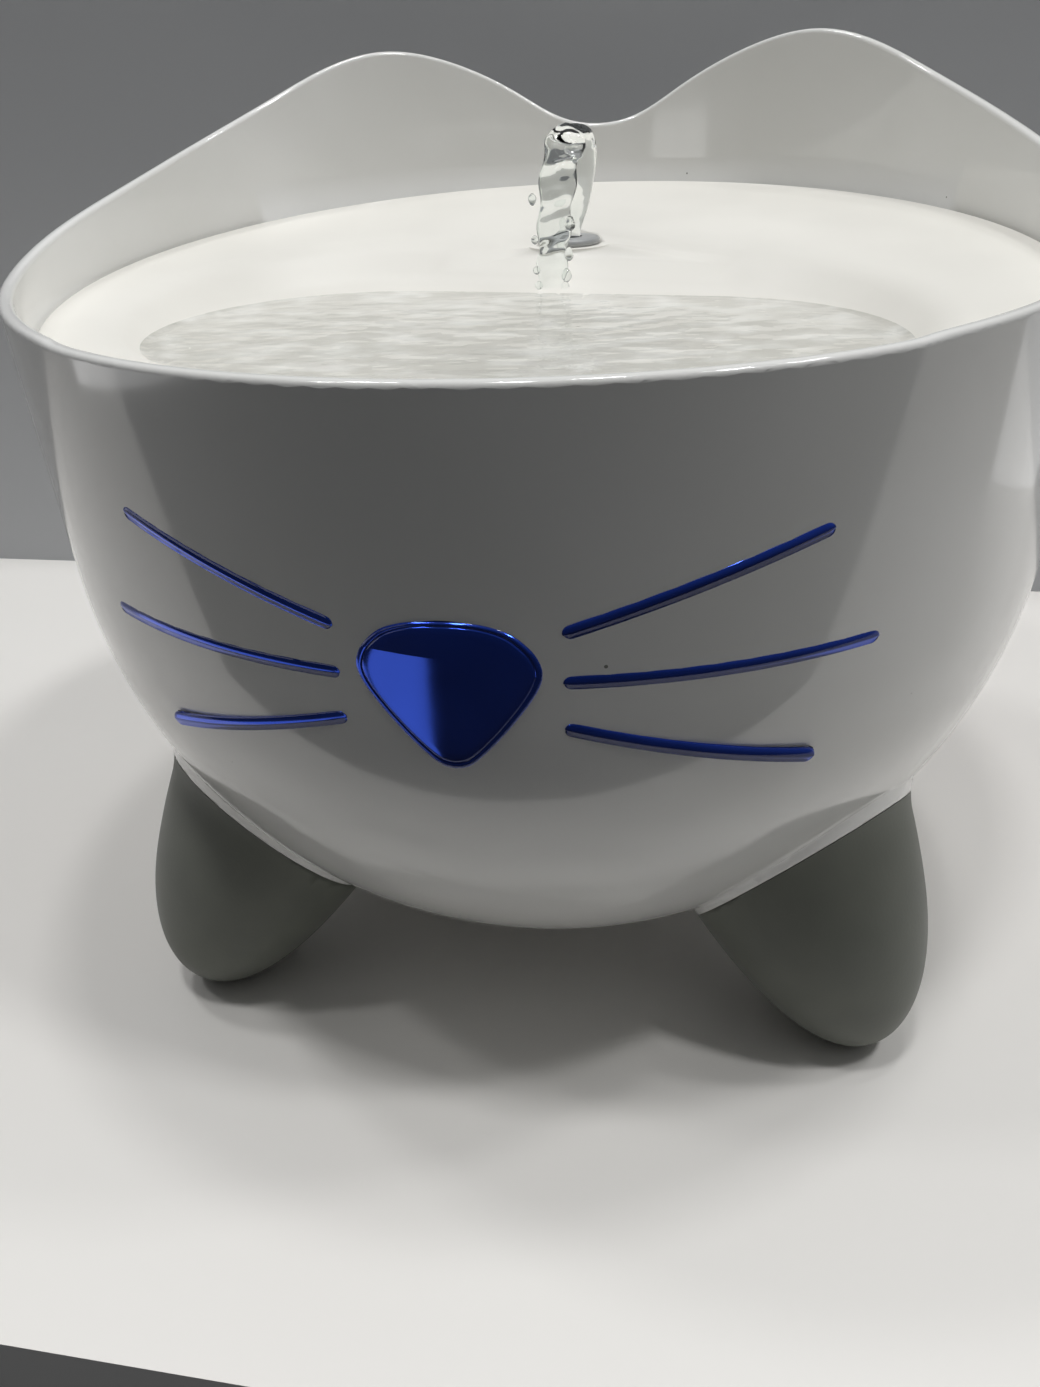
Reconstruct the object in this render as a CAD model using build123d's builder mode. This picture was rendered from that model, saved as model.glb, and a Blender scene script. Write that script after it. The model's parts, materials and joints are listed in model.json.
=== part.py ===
from build123d import *
import os
from math import asin, atan, cos, degrees, radians, sin, sqrt

# Pet water fountain. The origin is on the table under the reservoir's axis,
# +Z is up and the face looks towards -Y. All sizes are in millimetres.

# ---------------------------------------------------------------- clearances
SEAT_GAP = 0.2          # under a piece that only rests on its seat
LIFT_CLEARANCE = 0.5    # round a piece that is lifted out by hand
PLUG_CLEARANCE = 0.3    # round a piece that is pushed into a socket
RUNNING_CLEARANCE = 0.05
MOULD_CLEARANCE = 0.15  # between pieces that are fixed together

# ----------------------------------------------------------- reservoir shell
WALL = 2.8
RIM_RADIUS = 115.0
RIM_HEIGHT = 162.0
WALL_LEAN = 0.025       # outward lean of the upper wall, mm per mm
BELLY_CENTRE_HEIGHT = 113.0     # of the belly sphere's centre above the table
BASE_HEIGHT = 22.0
RIM_ROUND = 1.1

# Rise of the rim above its front, by angle from the back: valley, ear, flank.
RIM_RISE = (
    (0, 21.6), (12, 30.4), (22, 39.6), (31.5, 43.0), (40, 40.2), (50, 32.6),
    (62, 24.0), (76, 15.8), (92, 9.3), (112, 3.6), (140, 0.8), (180, 0.0),
)
RIM_CUT_INNER = 60.0
RIM_CUT_OUTER = 150.0
CROWN_ALLOWANCE = 12.0  # how far the uncut wall stands above the ears

# ------------------------------------------------------------- legs and feet
LEG_AZIMUTHS = {
    "front_left": -47.8, "front_right": 47.8,
    "rear_left": -132.2, "rear_right": 132.2,
}
LEG_TILT = 36.4         # outward from vertical
LEG_CENTRE_INSET = 63.3 # from the rim's radius in to the middle of the leg
LEG_CENTRE_HEIGHT = 86.0
LEG_HALF_LENGTH = 105.6
LEG_HALF_WIDTH = 32.0
SEAM_STATION = 56.5     # along the leg from its centre to the white-grey seam
SEAM_TURN = 14.0        # the seam is this much more upright than square to the leg
FLARE_STATION = 55.5    # where the leg starts to flare towards the belly
FLARE_ROUND = 20.0
FLARE_SWEEP = 46.0
PEG_RADIUS = 9.0
PEG_LENGTH = 26.0       # from the seam, most of it below the belly
PEG_BARB = 0.8
PEG_BARB_LENGTH = 3.0

# ------------------------------------------------------- face: nose, whiskers
NOSE_HALF_WIDTH = 14.8
NOSE_TOP_DROP = 36.0
NOSE_CHEEK_DROP = 43.0
NOSE_TIP_DROP = 64.4
NOSE_SIDE_BULGE = 2.7
NOSE_CHEEK_ROUND = 4.5
NOSE_TIP_ROUND = 2.2
NOSE_TIP_MARGIN = 1.5   # the pointed tip moves this much further than the sides
WHISKER_WIDTH = 2.4
WHISKER_INNER_X = 19.5
WHISKERS = (            # inner drop, outer x, outer drop
    (38.0, 56.8, 25.9), (47.0, 66.5, 47.0), (55.9, 57.8, 67.6),
)
SLOT_SET_BACK = 0.5     # whisker faces lie this far inside the wall's surface
WINDOW_HALF_ANGLE = 38.0
WINDOW_TOP_DROP = 22.6
WINDOW_BOTTOM_DROP = 73.0
WINDOW_PLATE = 2.0
GASKET_THICKNESS = 1.0
CLAMP_THICKNESS = 2.0
CLAMP_BORDER_ANGLE = 5.0
CLAMP_REACH_ANGLE = 8.0         # past the window's edge, over the screw bosses
CLAMP_BORDER = 6.0
BOSS_AZIMUTH = 41.5
BOSS_RADIUS = 4.0
BOSS_DROPS = (30.0, 64.0)
SCREW_RADIUS = 1.25
SCREW_HEAD_RADIUS = 2.6
SCREW_HEAD = 1.8
SCREW_LENGTH = 4.6

# ------------------------------------------------------------- cable grommet
GROMMET_DROP = 22.0
GROMMET_HOLE_RADIUS = 5.5
GROMMET_FLANGE_RADIUS = 8.5
GROMMET_FLANGE = 1.2
CABLE_BORE_RADIUS = 2.3

# ------------------------------------------------------------- drinking dish
DISH_FRONT_DROP = 12.93 # from the front rim down to the dish plane at the wall
DISH_SLOPE = 0.082      # rise towards the back, mm per mm
DISH_EDGE = 5.0
DISH_SKIN = 2.4
DISH_EDGE_ROUND = 1.0
LEDGE_WIDTH = 5.0
LEDGE_THICKNESS = 1.6
LEDGE_GUSSET = 2.6      # extra depth of the ledge where it meets the wall
BASIN_DEPTH = 9.5
BASIN_END = (36.0, -26.0, 52.0)         # x, y and radius of the pool's two round ends
BASIN_TURN = -12.0      # the pool is turned a little towards where the water runs to
BASIN_TAPER = 50.0      # slope of the pool's walls from upright
BASIN_FLOOR_ROUND = 14.0
BASIN_EDGE_ROUND = 12.0
CHUTE_DEPTH = 3.0
CHUTE_ENDS = (          # x, y and radius: spout, left bank, right bank
    (0.0, 37.0, 14.0), (-18.0, -10.0, 12.0), (52.0, -14.0, 20.0),
)
CHUTE_TAPER = 60.0
DRAIN_SLOT_WIDTH = 2.2
DRAIN_SLOT_LENGTHS = (24.0, 34.0, 38.0, 34.0, 24.0)
DRAIN_SLOT_PITCH = 6.0
DRAIN_Y = -51.0

# ---------------------------------------------------------- filter cartridge
FILTER_Y = -56.0
FILTER_RADIUS = 33.0
FILTER_SOCKET_WALL = 2.0
FILTER_SOCKET_DROP = 31.0       # from the front rim to the socket's lower edge
FILTER_HEAD_ROOM = 1.2
FILTER_SHELL = 1.8
FILTER_BODY_DEPTH = 19.5        # of the cup below the socket
FILTER_LIP = 3.0
FILTER_BEDS = {"resin_bed": 9.0, "carbon_bed": 8.5, "filter_pad": 3.5}
FILTER_SLOT_WIDTH = 2.4
FILTER_SLOT_PITCH = 6.5
FILTER_SLOT_COUNT = 7

# ------------------------------------------------------- spout, nozzle, riser
SPOUT_Y = 40.0
JET_BORE_RADIUS = 3.4
NOZZLE_RADIUS = 6.5
NOZZLE_LENGTH = 11.0
NOZZLE_FLANGE_RADIUS = 8.0
NOZZLE_FLANGE = 1.6
SPOUT_BOSS_WALL = 2.0
SPOUT_BOSS_DROP = 20.0          # from the dish plane to the boss's lower edge
RISER_BORE_RADIUS = 6.1
RISER_WALL = 1.7
RISER_ENTRY = 8.0               # how far the riser stands in the boss
SEAL_LENGTH = 5.0
SEAL_THICKNESS = 1.0
SPOUT_SINK = 3.0        # boss top below the dish plane at the spout

# ---------------------------------------------------------------------- pump
PUMP_STAND = 5.0        # suction cups hold the casing this far off the floor
PUMP_HALF = 18.0        # half of the square casing's side
PUMP_CORNER = 5.0
MOTOR_FRONT_X = 6.0
MOTOR_LENGTH = 34.0
VOLUTE_RADIUS = 16.5
CHAMBER_RADIUS = 14.0
CHAMBER_HALF = 6.0
WELL_RADIUS = 8.8
WELL_WALL = 1.0
WELL_DEPTH = 20.0
WELL_FRONT_WALL = 2.0   # the well starts this far inside the volute's back
CASING_WALL = 2.0
BUSH_RADIUS = 3.2
BUSH_LENGTH = 2.5
SHAFT_RADIUS = 1.25
MAGNET_RADIUS = 8.0
MAGNET_LENGTH = 17.0
MAGNET_END_GAP = 1.5
IMPELLER_RADIUS = 11.0
IMPELLER_BLADES = 6
BLADE_THICKNESS = 1.4
BLADE_DEPTH = 7.0
HUB_RADIUS = 3.6
BACK_PLATE = 1.2
COVER_THICKNESS = 2.2
EYE_RADIUS = 7.5
STATOR_GAP = 0.3
STATOR_TEETH = 6
STATOR_STACK = 11.0
STATOR_RING = 1.8
TOOTH_WIDTH = 3.0
COIL_THICKNESS = 1.6
ELECTRONICS_LENGTH = 7.5
BOARD_THICKNESS = 1.2
LENS_RADIUS = 3.0
LENS_RISE = 6.0         # above the pump's axis
LENS_FLANGE = 1.0
LENS_FLANGE_RADIUS = 3.6
LED_SIZE = 3.0
BOARD_STAND = 3.2       # board's face behind the casing wall
GLAND_RISE = 4.0
GLAND_GROOVE = 1.0
CABLE_GLAND_RADIUS = 4.5
CABLE_GLAND_LENGTH = 6.0
COVER_SCREW_RADIUS = 1.0
COVER_SCREW_CIRCLE = 15.2
COVER_SCREW_LENGTH = 5.0
COVER_SCREW_HEAD_RADIUS = 1.3
COVER_SCREW_HEAD = 1.2
SPIDER_ARM = 2.0
BUSH_STAND = 1.0        # the front bush stands this far out of the cover
SLEEVE_WALL = 1.2

# --------------------------------------------------------------- outlet valve
OUTLET_NECK_RADIUS = 5.8
OUTLET_NECK_RISE = 1.2  # the valve block starts this far above the casing
VALVE_BLOCK_RADIUS = 9.5
VALVE_BLOCK_HEIGHT = 14.0
VALVE_RADIUS = 5.0
VALVE_BORE_DEPTH = 16.5
OUTLET_BORE_RADIUS = 3.6
SPIGOT_LENGTH = 12.0
KNOB_RADIUS = 7.0
KNOB_DEPTH = 6.0
KNOB_FLUTES = 10
KNOB_FLUTE_RADIUS = 1.0

# ----------------------------------------------------- frame on the tank floor
FRAME_RIB = 1.6
FRAME_HEIGHT = 1.5
FRAME_CLEARANCE = 1.0   # round the suction cups

# -------------------------------------------------------------- suction cups
CUP_RADIUS = 5.0
CUP_NECK_RADIUS = 2.5
CUP_NECK_LENGTH = 1.8
CUP_HOLLOW = 1.6
CUP_LIP = 0.8
CUP_SPACING = (18.0, 19.0)
CUP_CENTRE_X = 18.0

# -------------------------------------------------------------- intake cover
INTAKE_LENGTH = 20.0
INTAKE_WALL = 1.6
INTAKE_LAP = 1.9
INTAKE_SLOTS = 5
INTAKE_SLOT_WIDTH = 2.6
INTAKE_SLOT_PITCH = 5.4
FOAM_CLEARANCE = 0.6

# ------------------------------------------------------------- derived sizes
CROWN_HEIGHT = RIM_HEIGHT + max(rise for _, rise in RIM_RISE) + CROWN_ALLOWANCE
BELLY_CENTRE_DROP = RIM_HEIGHT - BELLY_CENTRE_HEIGHT
LEAN_ANGLE = atan(WALL_LEAN)
BELLY_SPHERE_RADIUS = (RIM_RADIUS - WALL_LEAN * BELLY_CENTRE_DROP) * cos(LEAN_ANGLE)
FLOOR_HEIGHT = BASE_HEIGHT + WALL
DISH_HEIGHT = RIM_HEIGHT - DISH_FRONT_DROP + DISH_SLOPE * RIM_RADIUS
DISH_TILT = degrees(atan(DISH_SLOPE))
PLATE_INSET = WALL + GASKET_THICKNESS
CLAMP_INSET = PLATE_INSET + WINDOW_PLATE
CLAMP_HALF_ANGLE = WINDOW_HALF_ANGLE + CLAMP_REACH_ANGLE
RISER_RADIUS = RISER_BORE_RADIUS + RISER_WALL
PUMP_BOTTOM = FLOOR_HEIGHT + PUMP_STAND
PUMP_AXIS_HEIGHT = PUMP_BOTTOM + PUMP_HALF
PUMP_TOP = PUMP_AXIS_HEIGHT + PUMP_HALF
MOTOR_BACK_X = MOTOR_FRONT_X + MOTOR_LENGTH
WELL_BACK_X = MOTOR_FRONT_X + WELL_DEPTH
VALVE_AXIS_HEIGHT = PUMP_TOP + VALVE_BLOCK_HEIGHT / 2
SPIGOT_FOOT = PUMP_TOP + VALVE_BLOCK_HEIGHT
SPIGOT_TOP = SPIGOT_FOOT + SPIGOT_LENGTH


def shell_radius(height, inset=0.0):
    """Radius of the reservoir's form at a height, moved inwards by an inset."""
    sphere = BELLY_SPHERE_RADIUS - inset
    tangent_height = BELLY_CENTRE_HEIGHT - sphere * sin(LEAN_ANGLE)
    if height < tangent_height:
        return sqrt(sphere**2 - (BELLY_CENTRE_HEIGHT - height) ** 2)
    return sphere * cos(LEAN_ANGLE) + WALL_LEAN * (height - tangent_height)


PEG_END = SEAM_STATION + PEG_LENGTH
LEDGE_TOP = -DISH_EDGE - SEAT_GAP
GROMMET_HEIGHT = RIM_HEIGHT - GROMMET_DROP
GROMMET_REACH = 2 * WALL + 2 * GROMMET_FLANGE

DISH_PLANE = Plane(origin=(0, 0, DISH_HEIGHT)).rotated((DISH_TILT, 0, 0))
DISH_SECTION = Plane(DISH_PLANE.origin, x_dir=DISH_PLANE.x_dir, z_dir=-DISH_PLANE.y_dir)
DISH_AXIS = Axis(DISH_PLANE.origin, DISH_PLANE.z_dir)
GROMMET_PLANE = Plane(
    origin=(0, shell_radius(GROMMET_HEIGHT) + GROMMET_FLANGE, GROMMET_HEIGHT),
    x_dir=(1, 0, 0), z_dir=(0, 1, 0),
)
PUMP_FACE = Plane(origin=(0, SPOUT_Y, PUMP_AXIS_HEIGHT), x_dir=(0, 1, 0), z_dir=(1, 0, 0))


def dish_height(y):
    """Height of the dish plane above the table."""
    return DISH_HEIGHT + DISH_SLOPE * y


def along_pump(x):
    """Plane across the pump's axis, at world x, looking along +X."""
    return PUMP_FACE.offset(x)


def section_plane(azimuth):
    """Upright half plane at an azimuth from the front: x is radius, y is height."""
    outward = (sin(radians(azimuth)), -cos(radians(azimuth)), 0)
    return Plane(origin=(0, 0, 0), x_dir=outward, z_dir=Vector(*outward).cross(Vector(0, 0, 1)))


def save(builder, label):
    """Name a finished piece and write it."""
    builder.part.label = label
    export_step(builder.part, f"parts/{label}.step")


os.makedirs("parts", exist_ok=True)


# ================================================================= reservoir
def shell_section(inset):
    """Half section of the reservoir's form, moved inwards by an inset."""
    sphere = BELLY_SPHERE_RADIUS - inset
    base = Vector(shell_radius(BASE_HEIGHT + inset, inset), BASE_HEIGHT + inset)
    crown = Vector(shell_radius(CROWN_HEIGHT, inset), CROWN_HEIGHT)
    sweep = degrees(atan((BELLY_CENTRE_HEIGHT - base.Y) / base.X) - LEAN_ANGLE)
    with BuildSketch() as section:
        with BuildLine():
            belly = CenterArc((0, BELLY_CENTRE_HEIGHT), sphere, -degrees(LEAN_ANGLE), -sweep)
            Polyline(belly @ 0, crown, (0, crown.Y), (0, base.Y), belly @ 1)
        make_face()
    return section.sketch_local


def shell_band(inset, thickness, low, high, half_angle):
    """Strip that follows the inside of the front wall, as a revolved solid."""
    with BuildPart() as band:
        with BuildSketch(section_plane(-half_angle)):
            add(shell_section(inset))
            add(shell_section(inset + thickness), mode=Mode.SUBTRACT)
            with Locations((RIM_RADIUS, (low + high) / 2)):
                Rectangle(RIM_RADIUS, high - low, mode=Mode.INTERSECT)
        revolve(axis=Axis.Z, revolution_arc=2 * half_angle)
    return band.part


def rim_surface():
    """Ruled surface over the +X half that carries the rim line and the ear."""
    rails = []
    for radius in (RIM_CUT_INNER, RIM_CUT_OUTER):
        knots = [
            (radius * sin(radians(a)), radius * cos(radians(a)), RIM_HEIGHT + rise)
            for a, rise in RIM_RISE
        ]
        rails.append(Edge.make_spline(knots, tangents=[(1, 0, 0), (-1, 0, 0)]))
    return Face.make_surface_from_curves(*rails)


def down_and_out(azimuth, tilt):
    """Direction at an azimuth, tilted outwards from straight down."""
    return section_plane(azimuth).x_dir * sin(radians(tilt)) - Vector(0, 0, cos(radians(tilt)))


def leg_plane(azimuth):
    """Profile plane of a leg: its y runs down and out along the leg's axis."""
    section = section_plane(azimuth)
    centre = section.from_local_coords((RIM_RADIUS - LEG_CENTRE_INSET, LEG_CENTRE_HEIGHT))
    along = down_and_out(azimuth, LEG_TILT)
    return Plane(origin=centre, x_dir=-section.z_dir, z_dir=along.cross(section.z_dir))


def leg_axis(azimuth):
    """Axis down a leg from its centre."""
    plane = leg_plane(azimuth)
    return Axis(plane.origin, plane.y_dir)


def leg_solid(azimuth, end):
    """Leg as a body of revolution: an egg that flares where it leaves the belly."""
    radius = LEG_HALF_WIDTH * sqrt(1 - (FLARE_STATION / LEG_HALF_LENGTH) ** 2)
    slope = atan(FLARE_STATION / radius * (LEG_HALF_WIDTH / LEG_HALF_LENGTH) ** 2)
    with BuildPart() as leg:
        with BuildSketch(leg_plane(azimuth)):
            Ellipse(LEG_HALF_WIDTH, LEG_HALF_LENGTH)
            with Locations((0, FLARE_STATION)):
                Rectangle(
                    LEG_HALF_WIDTH, end - FLARE_STATION,
                    align=(Align.MIN, Align.MIN), mode=Mode.INTERSECT,
                )
            with BuildLine():
                flare = JernArc(
                    (radius, FLARE_STATION), (sin(slope), -cos(slope)), FLARE_ROUND, FLARE_SWEEP
                )
                Polyline(flare @ 1, (0, (flare @ 1).Y), (0, FLARE_STATION), flare @ 0)
            make_face()
        revolve(axis=leg_axis(azimuth))
    return leg.part


def seam_plane(azimuth, shift=0.0):
    """Plane of a leg's seam, facing down the leg, moved along its normal."""
    leg = leg_plane(azimuth)
    centre = leg.origin + leg.y_dir * SEAM_STATION
    return Plane(origin=centre, z_dir=down_and_out(azimuth, LEG_TILT + SEAM_TURN)).offset(shift)


def peg_solid(azimuth, radius, start, end):
    """Round peg or bore on a leg's axis."""
    with BuildPart() as peg:
        with BuildSketch(leg_plane(azimuth)):
            with Locations((0, start)):
                Rectangle(radius, end - start, align=(Align.MIN, Align.MIN))
        revolve(axis=leg_axis(azimuth))
    return peg.part


def fairing_solid(azimuth):
    """White upper end of a leg, down to the seam."""
    with BuildPart() as fairing:
        add(leg_solid(azimuth, LEG_HALF_LENGTH))
        split(bisect_by=seam_plane(azimuth), keep=Keep.BOTTOM)
    return fairing.part


def face_sketch(margin):
    """Nose and whiskers in front view, grown by a margin."""
    tip = Vector(0, RIM_HEIGHT - NOSE_TIP_DROP - NOSE_TIP_MARGIN * margin)
    cheek = Vector(NOSE_HALF_WIDTH + margin, RIM_HEIGHT - NOSE_CHEEK_DROP)
    crown = Vector(0, RIM_HEIGHT - NOSE_TOP_DROP + margin)
    width = WHISKER_WIDTH + 2 * margin
    flank = cheek - tip
    bulge = (cheek + tip) / 2 + Vector(flank.Y, -flank.X).normalized() * NOSE_SIDE_BULGE
    with BuildSketch() as face:
        with BuildLine():
            side = ThreePointArc(tip, bulge, cheek)
            mirror(side, about=Plane.YZ)
            ThreePointArc((-cheek.X, cheek.Y), crown, cheek)
        make_face()
        fillet(face.vertices().group_by(Axis.Y)[-1], NOSE_CHEEK_ROUND + margin)
        fillet(face.vertices().group_by(Axis.Y)[0], NOSE_TIP_ROUND + margin)
        for inner_drop, outer_x, outer_drop in WHISKERS:
            start = Vector(WHISKER_INNER_X, RIM_HEIGHT - inner_drop)
            run = Vector(outer_x, RIM_HEIGHT - outer_drop) - start
            lean = degrees(atan(run.Y / run.X))
            for side in (-1, 1):
                with Locations((side * (start.X + run.X / 2), start.Y + run.Y / 2)):
                    SlotCenterToCenter(run.length, width, rotation=side * lean)
    return face.sketch_local


def face_prism(margin):
    """The nose and whisker outlines run straight out through the front wall."""
    with BuildPart() as prism:
        with BuildSketch(Plane.XZ):
            add(face_sketch(margin))
        extrude(amount=1.5 * RIM_RADIUS)
    return prism.part


def boss_planes(inset):
    """Planes at the window's four screw bosses, square to the wall, looking inwards."""
    planes = []
    for drop in BOSS_DROPS:
        height = RIM_HEIGHT - drop
        dip = max(LEAN_ANGLE, asin((BELLY_CENTRE_HEIGHT - height) / BELLY_SPHERE_RADIUS))
        for azimuth in (-BOSS_AZIMUTH, BOSS_AZIMUTH):
            out = section_plane(azimuth).x_dir
            normal = out * cos(dip) - Vector(0, 0, sin(dip))
            surface = out * shell_radius(height) + Vector(0, 0, height)
            planes.append(Plane(origin=surface - normal * inset, z_dir=-normal))
    return planes


with BuildPart() as reservoir:
    # Outer form, leg fairings and foot pegs, then the water space.
    with BuildSketch(Plane.XZ):
        add(shell_section(0))
    revolve(axis=Axis.Z)
    for azimuth in LEG_AZIMUTHS.values():
        add(fairing_solid(azimuth))
        add(peg_solid(azimuth, PEG_RADIUS, SEAM_STATION - PEG_RADIUS, PEG_END))
        add(peg_solid(azimuth, PEG_RADIUS + PEG_BARB, PEG_END - PEG_BARB_LENGTH, PEG_END))
    with BuildSketch(Plane.XZ):
        add(shell_section(WALL))
    revolve(axis=Axis.Z, mode=Mode.SUBTRACT)

    # Tilted ledge that carries the dish, with a sloping underside.
    with BuildSketch(DISH_SECTION):
        ledge_outer = shell_radius(DISH_HEIGHT, WALL / 2)
        ledge_inner = ledge_outer - WALL / 2 - LEDGE_WIDTH
        with BuildLine():
            Polyline(
                (ledge_inner, LEDGE_TOP),
                (ledge_outer, LEDGE_TOP),
                (ledge_outer, LEDGE_TOP - LEDGE_THICKNESS - LEDGE_GUSSET),
                (ledge_inner, LEDGE_TOP - LEDGE_THICKNESS),
                close=True,
            )
        make_face()
    revolve(axis=DISH_AXIS)

    # Nose and whisker openings, and the bosses for the window's clamp.
    add(face_prism(0), mode=Mode.SUBTRACT)
    for plane in boss_planes(WALL / 2):
        with BuildSketch(plane):
            Circle(BOSS_RADIUS)
        extrude(amount=CLAMP_INSET - WALL / 2)
    for plane in boss_planes(CLAMP_INSET):
        with BuildSketch(plane):
            Circle(SCREW_RADIUS)
        extrude(amount=-SCREW_LENGTH, mode=Mode.SUBTRACT)

    # Hole for the cable grommet in the back wall.
    with BuildSketch(GROMMET_PLANE):
        Circle(GROMMET_HOLE_RADIUS)
    extrude(amount=-GROMMET_REACH, mode=Mode.SUBTRACT)

    # Low frame on the floor that keeps the pump's suction cups in their place.
    with BuildSketch(Plane.XY.offset(FLOOR_HEIGHT - WALL / 2)):
        with Locations((CUP_CENTRE_X, SPOUT_Y)):
            for margin, mode in ((FRAME_RIB, Mode.ADD), (0, Mode.SUBTRACT)):
                reach = 2 * (CUP_RADIUS + FRAME_CLEARANCE + margin)
                RectangleRounded(
                    CUP_SPACING[0] + reach, CUP_SPACING[1] + reach, CUP_RADIUS + margin, mode=mode
                )
    extrude(amount=WALL / 2 + FRAME_HEIGHT)

    # Ears and rim line.
    extrude(rim_surface(), amount=CROWN_HEIGHT, dir=(0, 0, 1), mode=Mode.SUBTRACT)
    extrude(
        rim_surface().mirror(Plane.YZ), amount=CROWN_HEIGHT, dir=(0, 0, 1), mode=Mode.SUBTRACT
    )
    rim_edges = reservoir.edges().filter_by(
        lambda edge: edge.bounding_box().min.Z > RIM_HEIGHT - WALL and edge.length > RIM_RADIUS
    )
    fillet(rim_edges, RIM_ROUND)
save(reservoir, "reservoir")


# ============================================================= window assembly
WINDOW_TOP = RIM_HEIGHT - WINDOW_TOP_DROP
WINDOW_BOTTOM = RIM_HEIGHT - WINDOW_BOTTOM_DROP


def window_band(inset, thickness):
    """Strip of the window's full outline, behind the front wall."""
    return shell_band(inset, thickness, WINDOW_BOTTOM, WINDOW_TOP, WINDOW_HALF_ANGLE)


# One clear moulding: whiskers and nose stand through the wall from a back plate.
with BuildPart() as window_relief:
    add(shell_band(0, PLATE_INSET, WINDOW_BOTTOM - WALL, WINDOW_TOP + WALL, CLAMP_HALF_ANGLE))
    add(face_prism(-MOULD_CLEARANCE), mode=Mode.SUBTRACT)

with BuildPart() as face_window:
    add(window_band(SLOT_SET_BACK, CLAMP_INSET - SLOT_SET_BACK))
    add(window_relief.part, mode=Mode.SUBTRACT)
save(face_window, "face_window")

with BuildPart() as window_gasket:
    add(window_band(WALL, GASKET_THICKNESS))
    add(face_prism(0), mode=Mode.SUBTRACT)
save(window_gasket, "window_gasket")

# Open frame that presses the plate and gasket against the wall.
with BuildPart() as window_clamp:
    add(shell_band(CLAMP_INSET, CLAMP_THICKNESS, WINDOW_BOTTOM, WINDOW_TOP, CLAMP_HALF_ANGLE))
    add(
        shell_band(
            CLAMP_INSET - WALL, CLAMP_THICKNESS + 2 * WALL,
            WINDOW_BOTTOM + CLAMP_BORDER, WINDOW_TOP - CLAMP_BORDER,
            WINDOW_HALF_ANGLE - CLAMP_BORDER_ANGLE,
        ),
        mode=Mode.SUBTRACT,
    )
    for plane in boss_planes(CLAMP_INSET - WALL):
        with BuildSketch(plane):
            Circle(SCREW_RADIUS + MOULD_CLEARANCE)
        extrude(amount=CLAMP_THICKNESS + 2 * WALL, mode=Mode.SUBTRACT)
save(window_clamp, "window_clamp")

with BuildPart() as window_screws:
    for plane in boss_planes(CLAMP_INSET + CLAMP_THICKNESS + SEAT_GAP):
        with BuildSketch(plane):
            Circle(SCREW_HEAD_RADIUS)
        extrude(amount=SCREW_HEAD)
        with BuildSketch(plane):
            Circle(SCREW_RADIUS - RUNNING_CLEARANCE)
        extrude(amount=-SCREW_LENGTH - SEAT_GAP)
save(window_screws, "window_screws")

# ======================================================================= feet
for name, azimuth in LEG_AZIMUTHS.items():
    with BuildPart() as foot:
        add(leg_solid(azimuth, LEG_HALF_LENGTH))
        split(bisect_by=seam_plane(azimuth, MOULD_CLEARANCE), keep=Keep.TOP)
        with BuildSketch(Plane.XZ):
            add(shell_section(-MOULD_CLEARANCE))
        revolve(axis=Axis.Z, mode=Mode.SUBTRACT)
        socket = PEG_RADIUS + MOULD_CLEARANCE
        socket_end = PEG_END + MOULD_CLEARANCE
        barb_start = PEG_END - PEG_BARB_LENGTH - MOULD_CLEARANCE
        add(
            peg_solid(azimuth, socket, SEAM_STATION - PEG_RADIUS, socket_end),
            mode=Mode.SUBTRACT,
        )
        add(
            peg_solid(azimuth, socket + PEG_BARB, barb_start, socket_end),
            mode=Mode.SUBTRACT,
        )
        split(bisect_by=Plane.XY, keep=Keep.TOP)
    save(foot, f"foot_{name}")

# ============================================================== cable grommet
with BuildPart() as cable_grommet:
    with BuildSketch(GROMMET_PLANE):
        Circle(GROMMET_FLANGE_RADIUS)
    extrude(amount=-GROMMET_FLANGE + SEAT_GAP)
    with BuildSketch(GROMMET_PLANE):
        Circle(GROMMET_HOLE_RADIUS - MOULD_CLEARANCE)
    extrude(amount=-GROMMET_REACH)
    with BuildSketch(GROMMET_PLANE.offset(-GROMMET_REACH)):
        Circle(GROMMET_FLANGE_RADIUS)
    extrude(amount=GROMMET_REACH - WALL - GROMMET_FLANGE - 2 * SEAT_GAP)
    with BuildSketch(GROMMET_PLANE):
        Circle(CABLE_BORE_RADIUS)
    extrude(amount=-GROMMET_REACH, mode=Mode.SUBTRACT)
save(cable_grommet, "cable_grommet")

# ============================================================== drinking dish
DISH_RADIUS = shell_radius(DISH_HEIGHT - DISH_SLOPE * RIM_RADIUS, WALL) - LIFT_CLEARANCE
SOCKET_LOW = RIM_HEIGHT - FILTER_SOCKET_DROP
SOCKET_INNER = FILTER_RADIUS + PLUG_CLEARANCE
SOCKET_OUTER = SOCKET_INNER + FILTER_SOCKET_WALL
SOCKET_HIGH = dish_height(FILTER_Y - SOCKET_OUTER) - DISH_SKIN / 2
SPOUT_TOP = dish_height(SPOUT_Y) - SPOUT_SINK
SPOUT_LOW = DISH_HEIGHT - SPOUT_BOSS_DROP
NOZZLE_SEAT = SPOUT_TOP - NOZZLE_LENGTH - SEAT_GAP
RISER_SOCKET = RISER_RADIUS + SEAL_THICKNESS
SPOUT_OUTER = RISER_SOCKET + SPOUT_BOSS_WALL


def pool_sketch(margin):
    """Outline of the pool in the dish plane, grown by a margin."""
    x, y, radius = BASIN_END
    with BuildSketch() as outline:
        with Locations((-x, y), (x, y)):
            Circle(radius + margin)
        make_hull()
    return outline.sketch_local.rotate(Axis.Z, BASIN_TURN)


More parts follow.
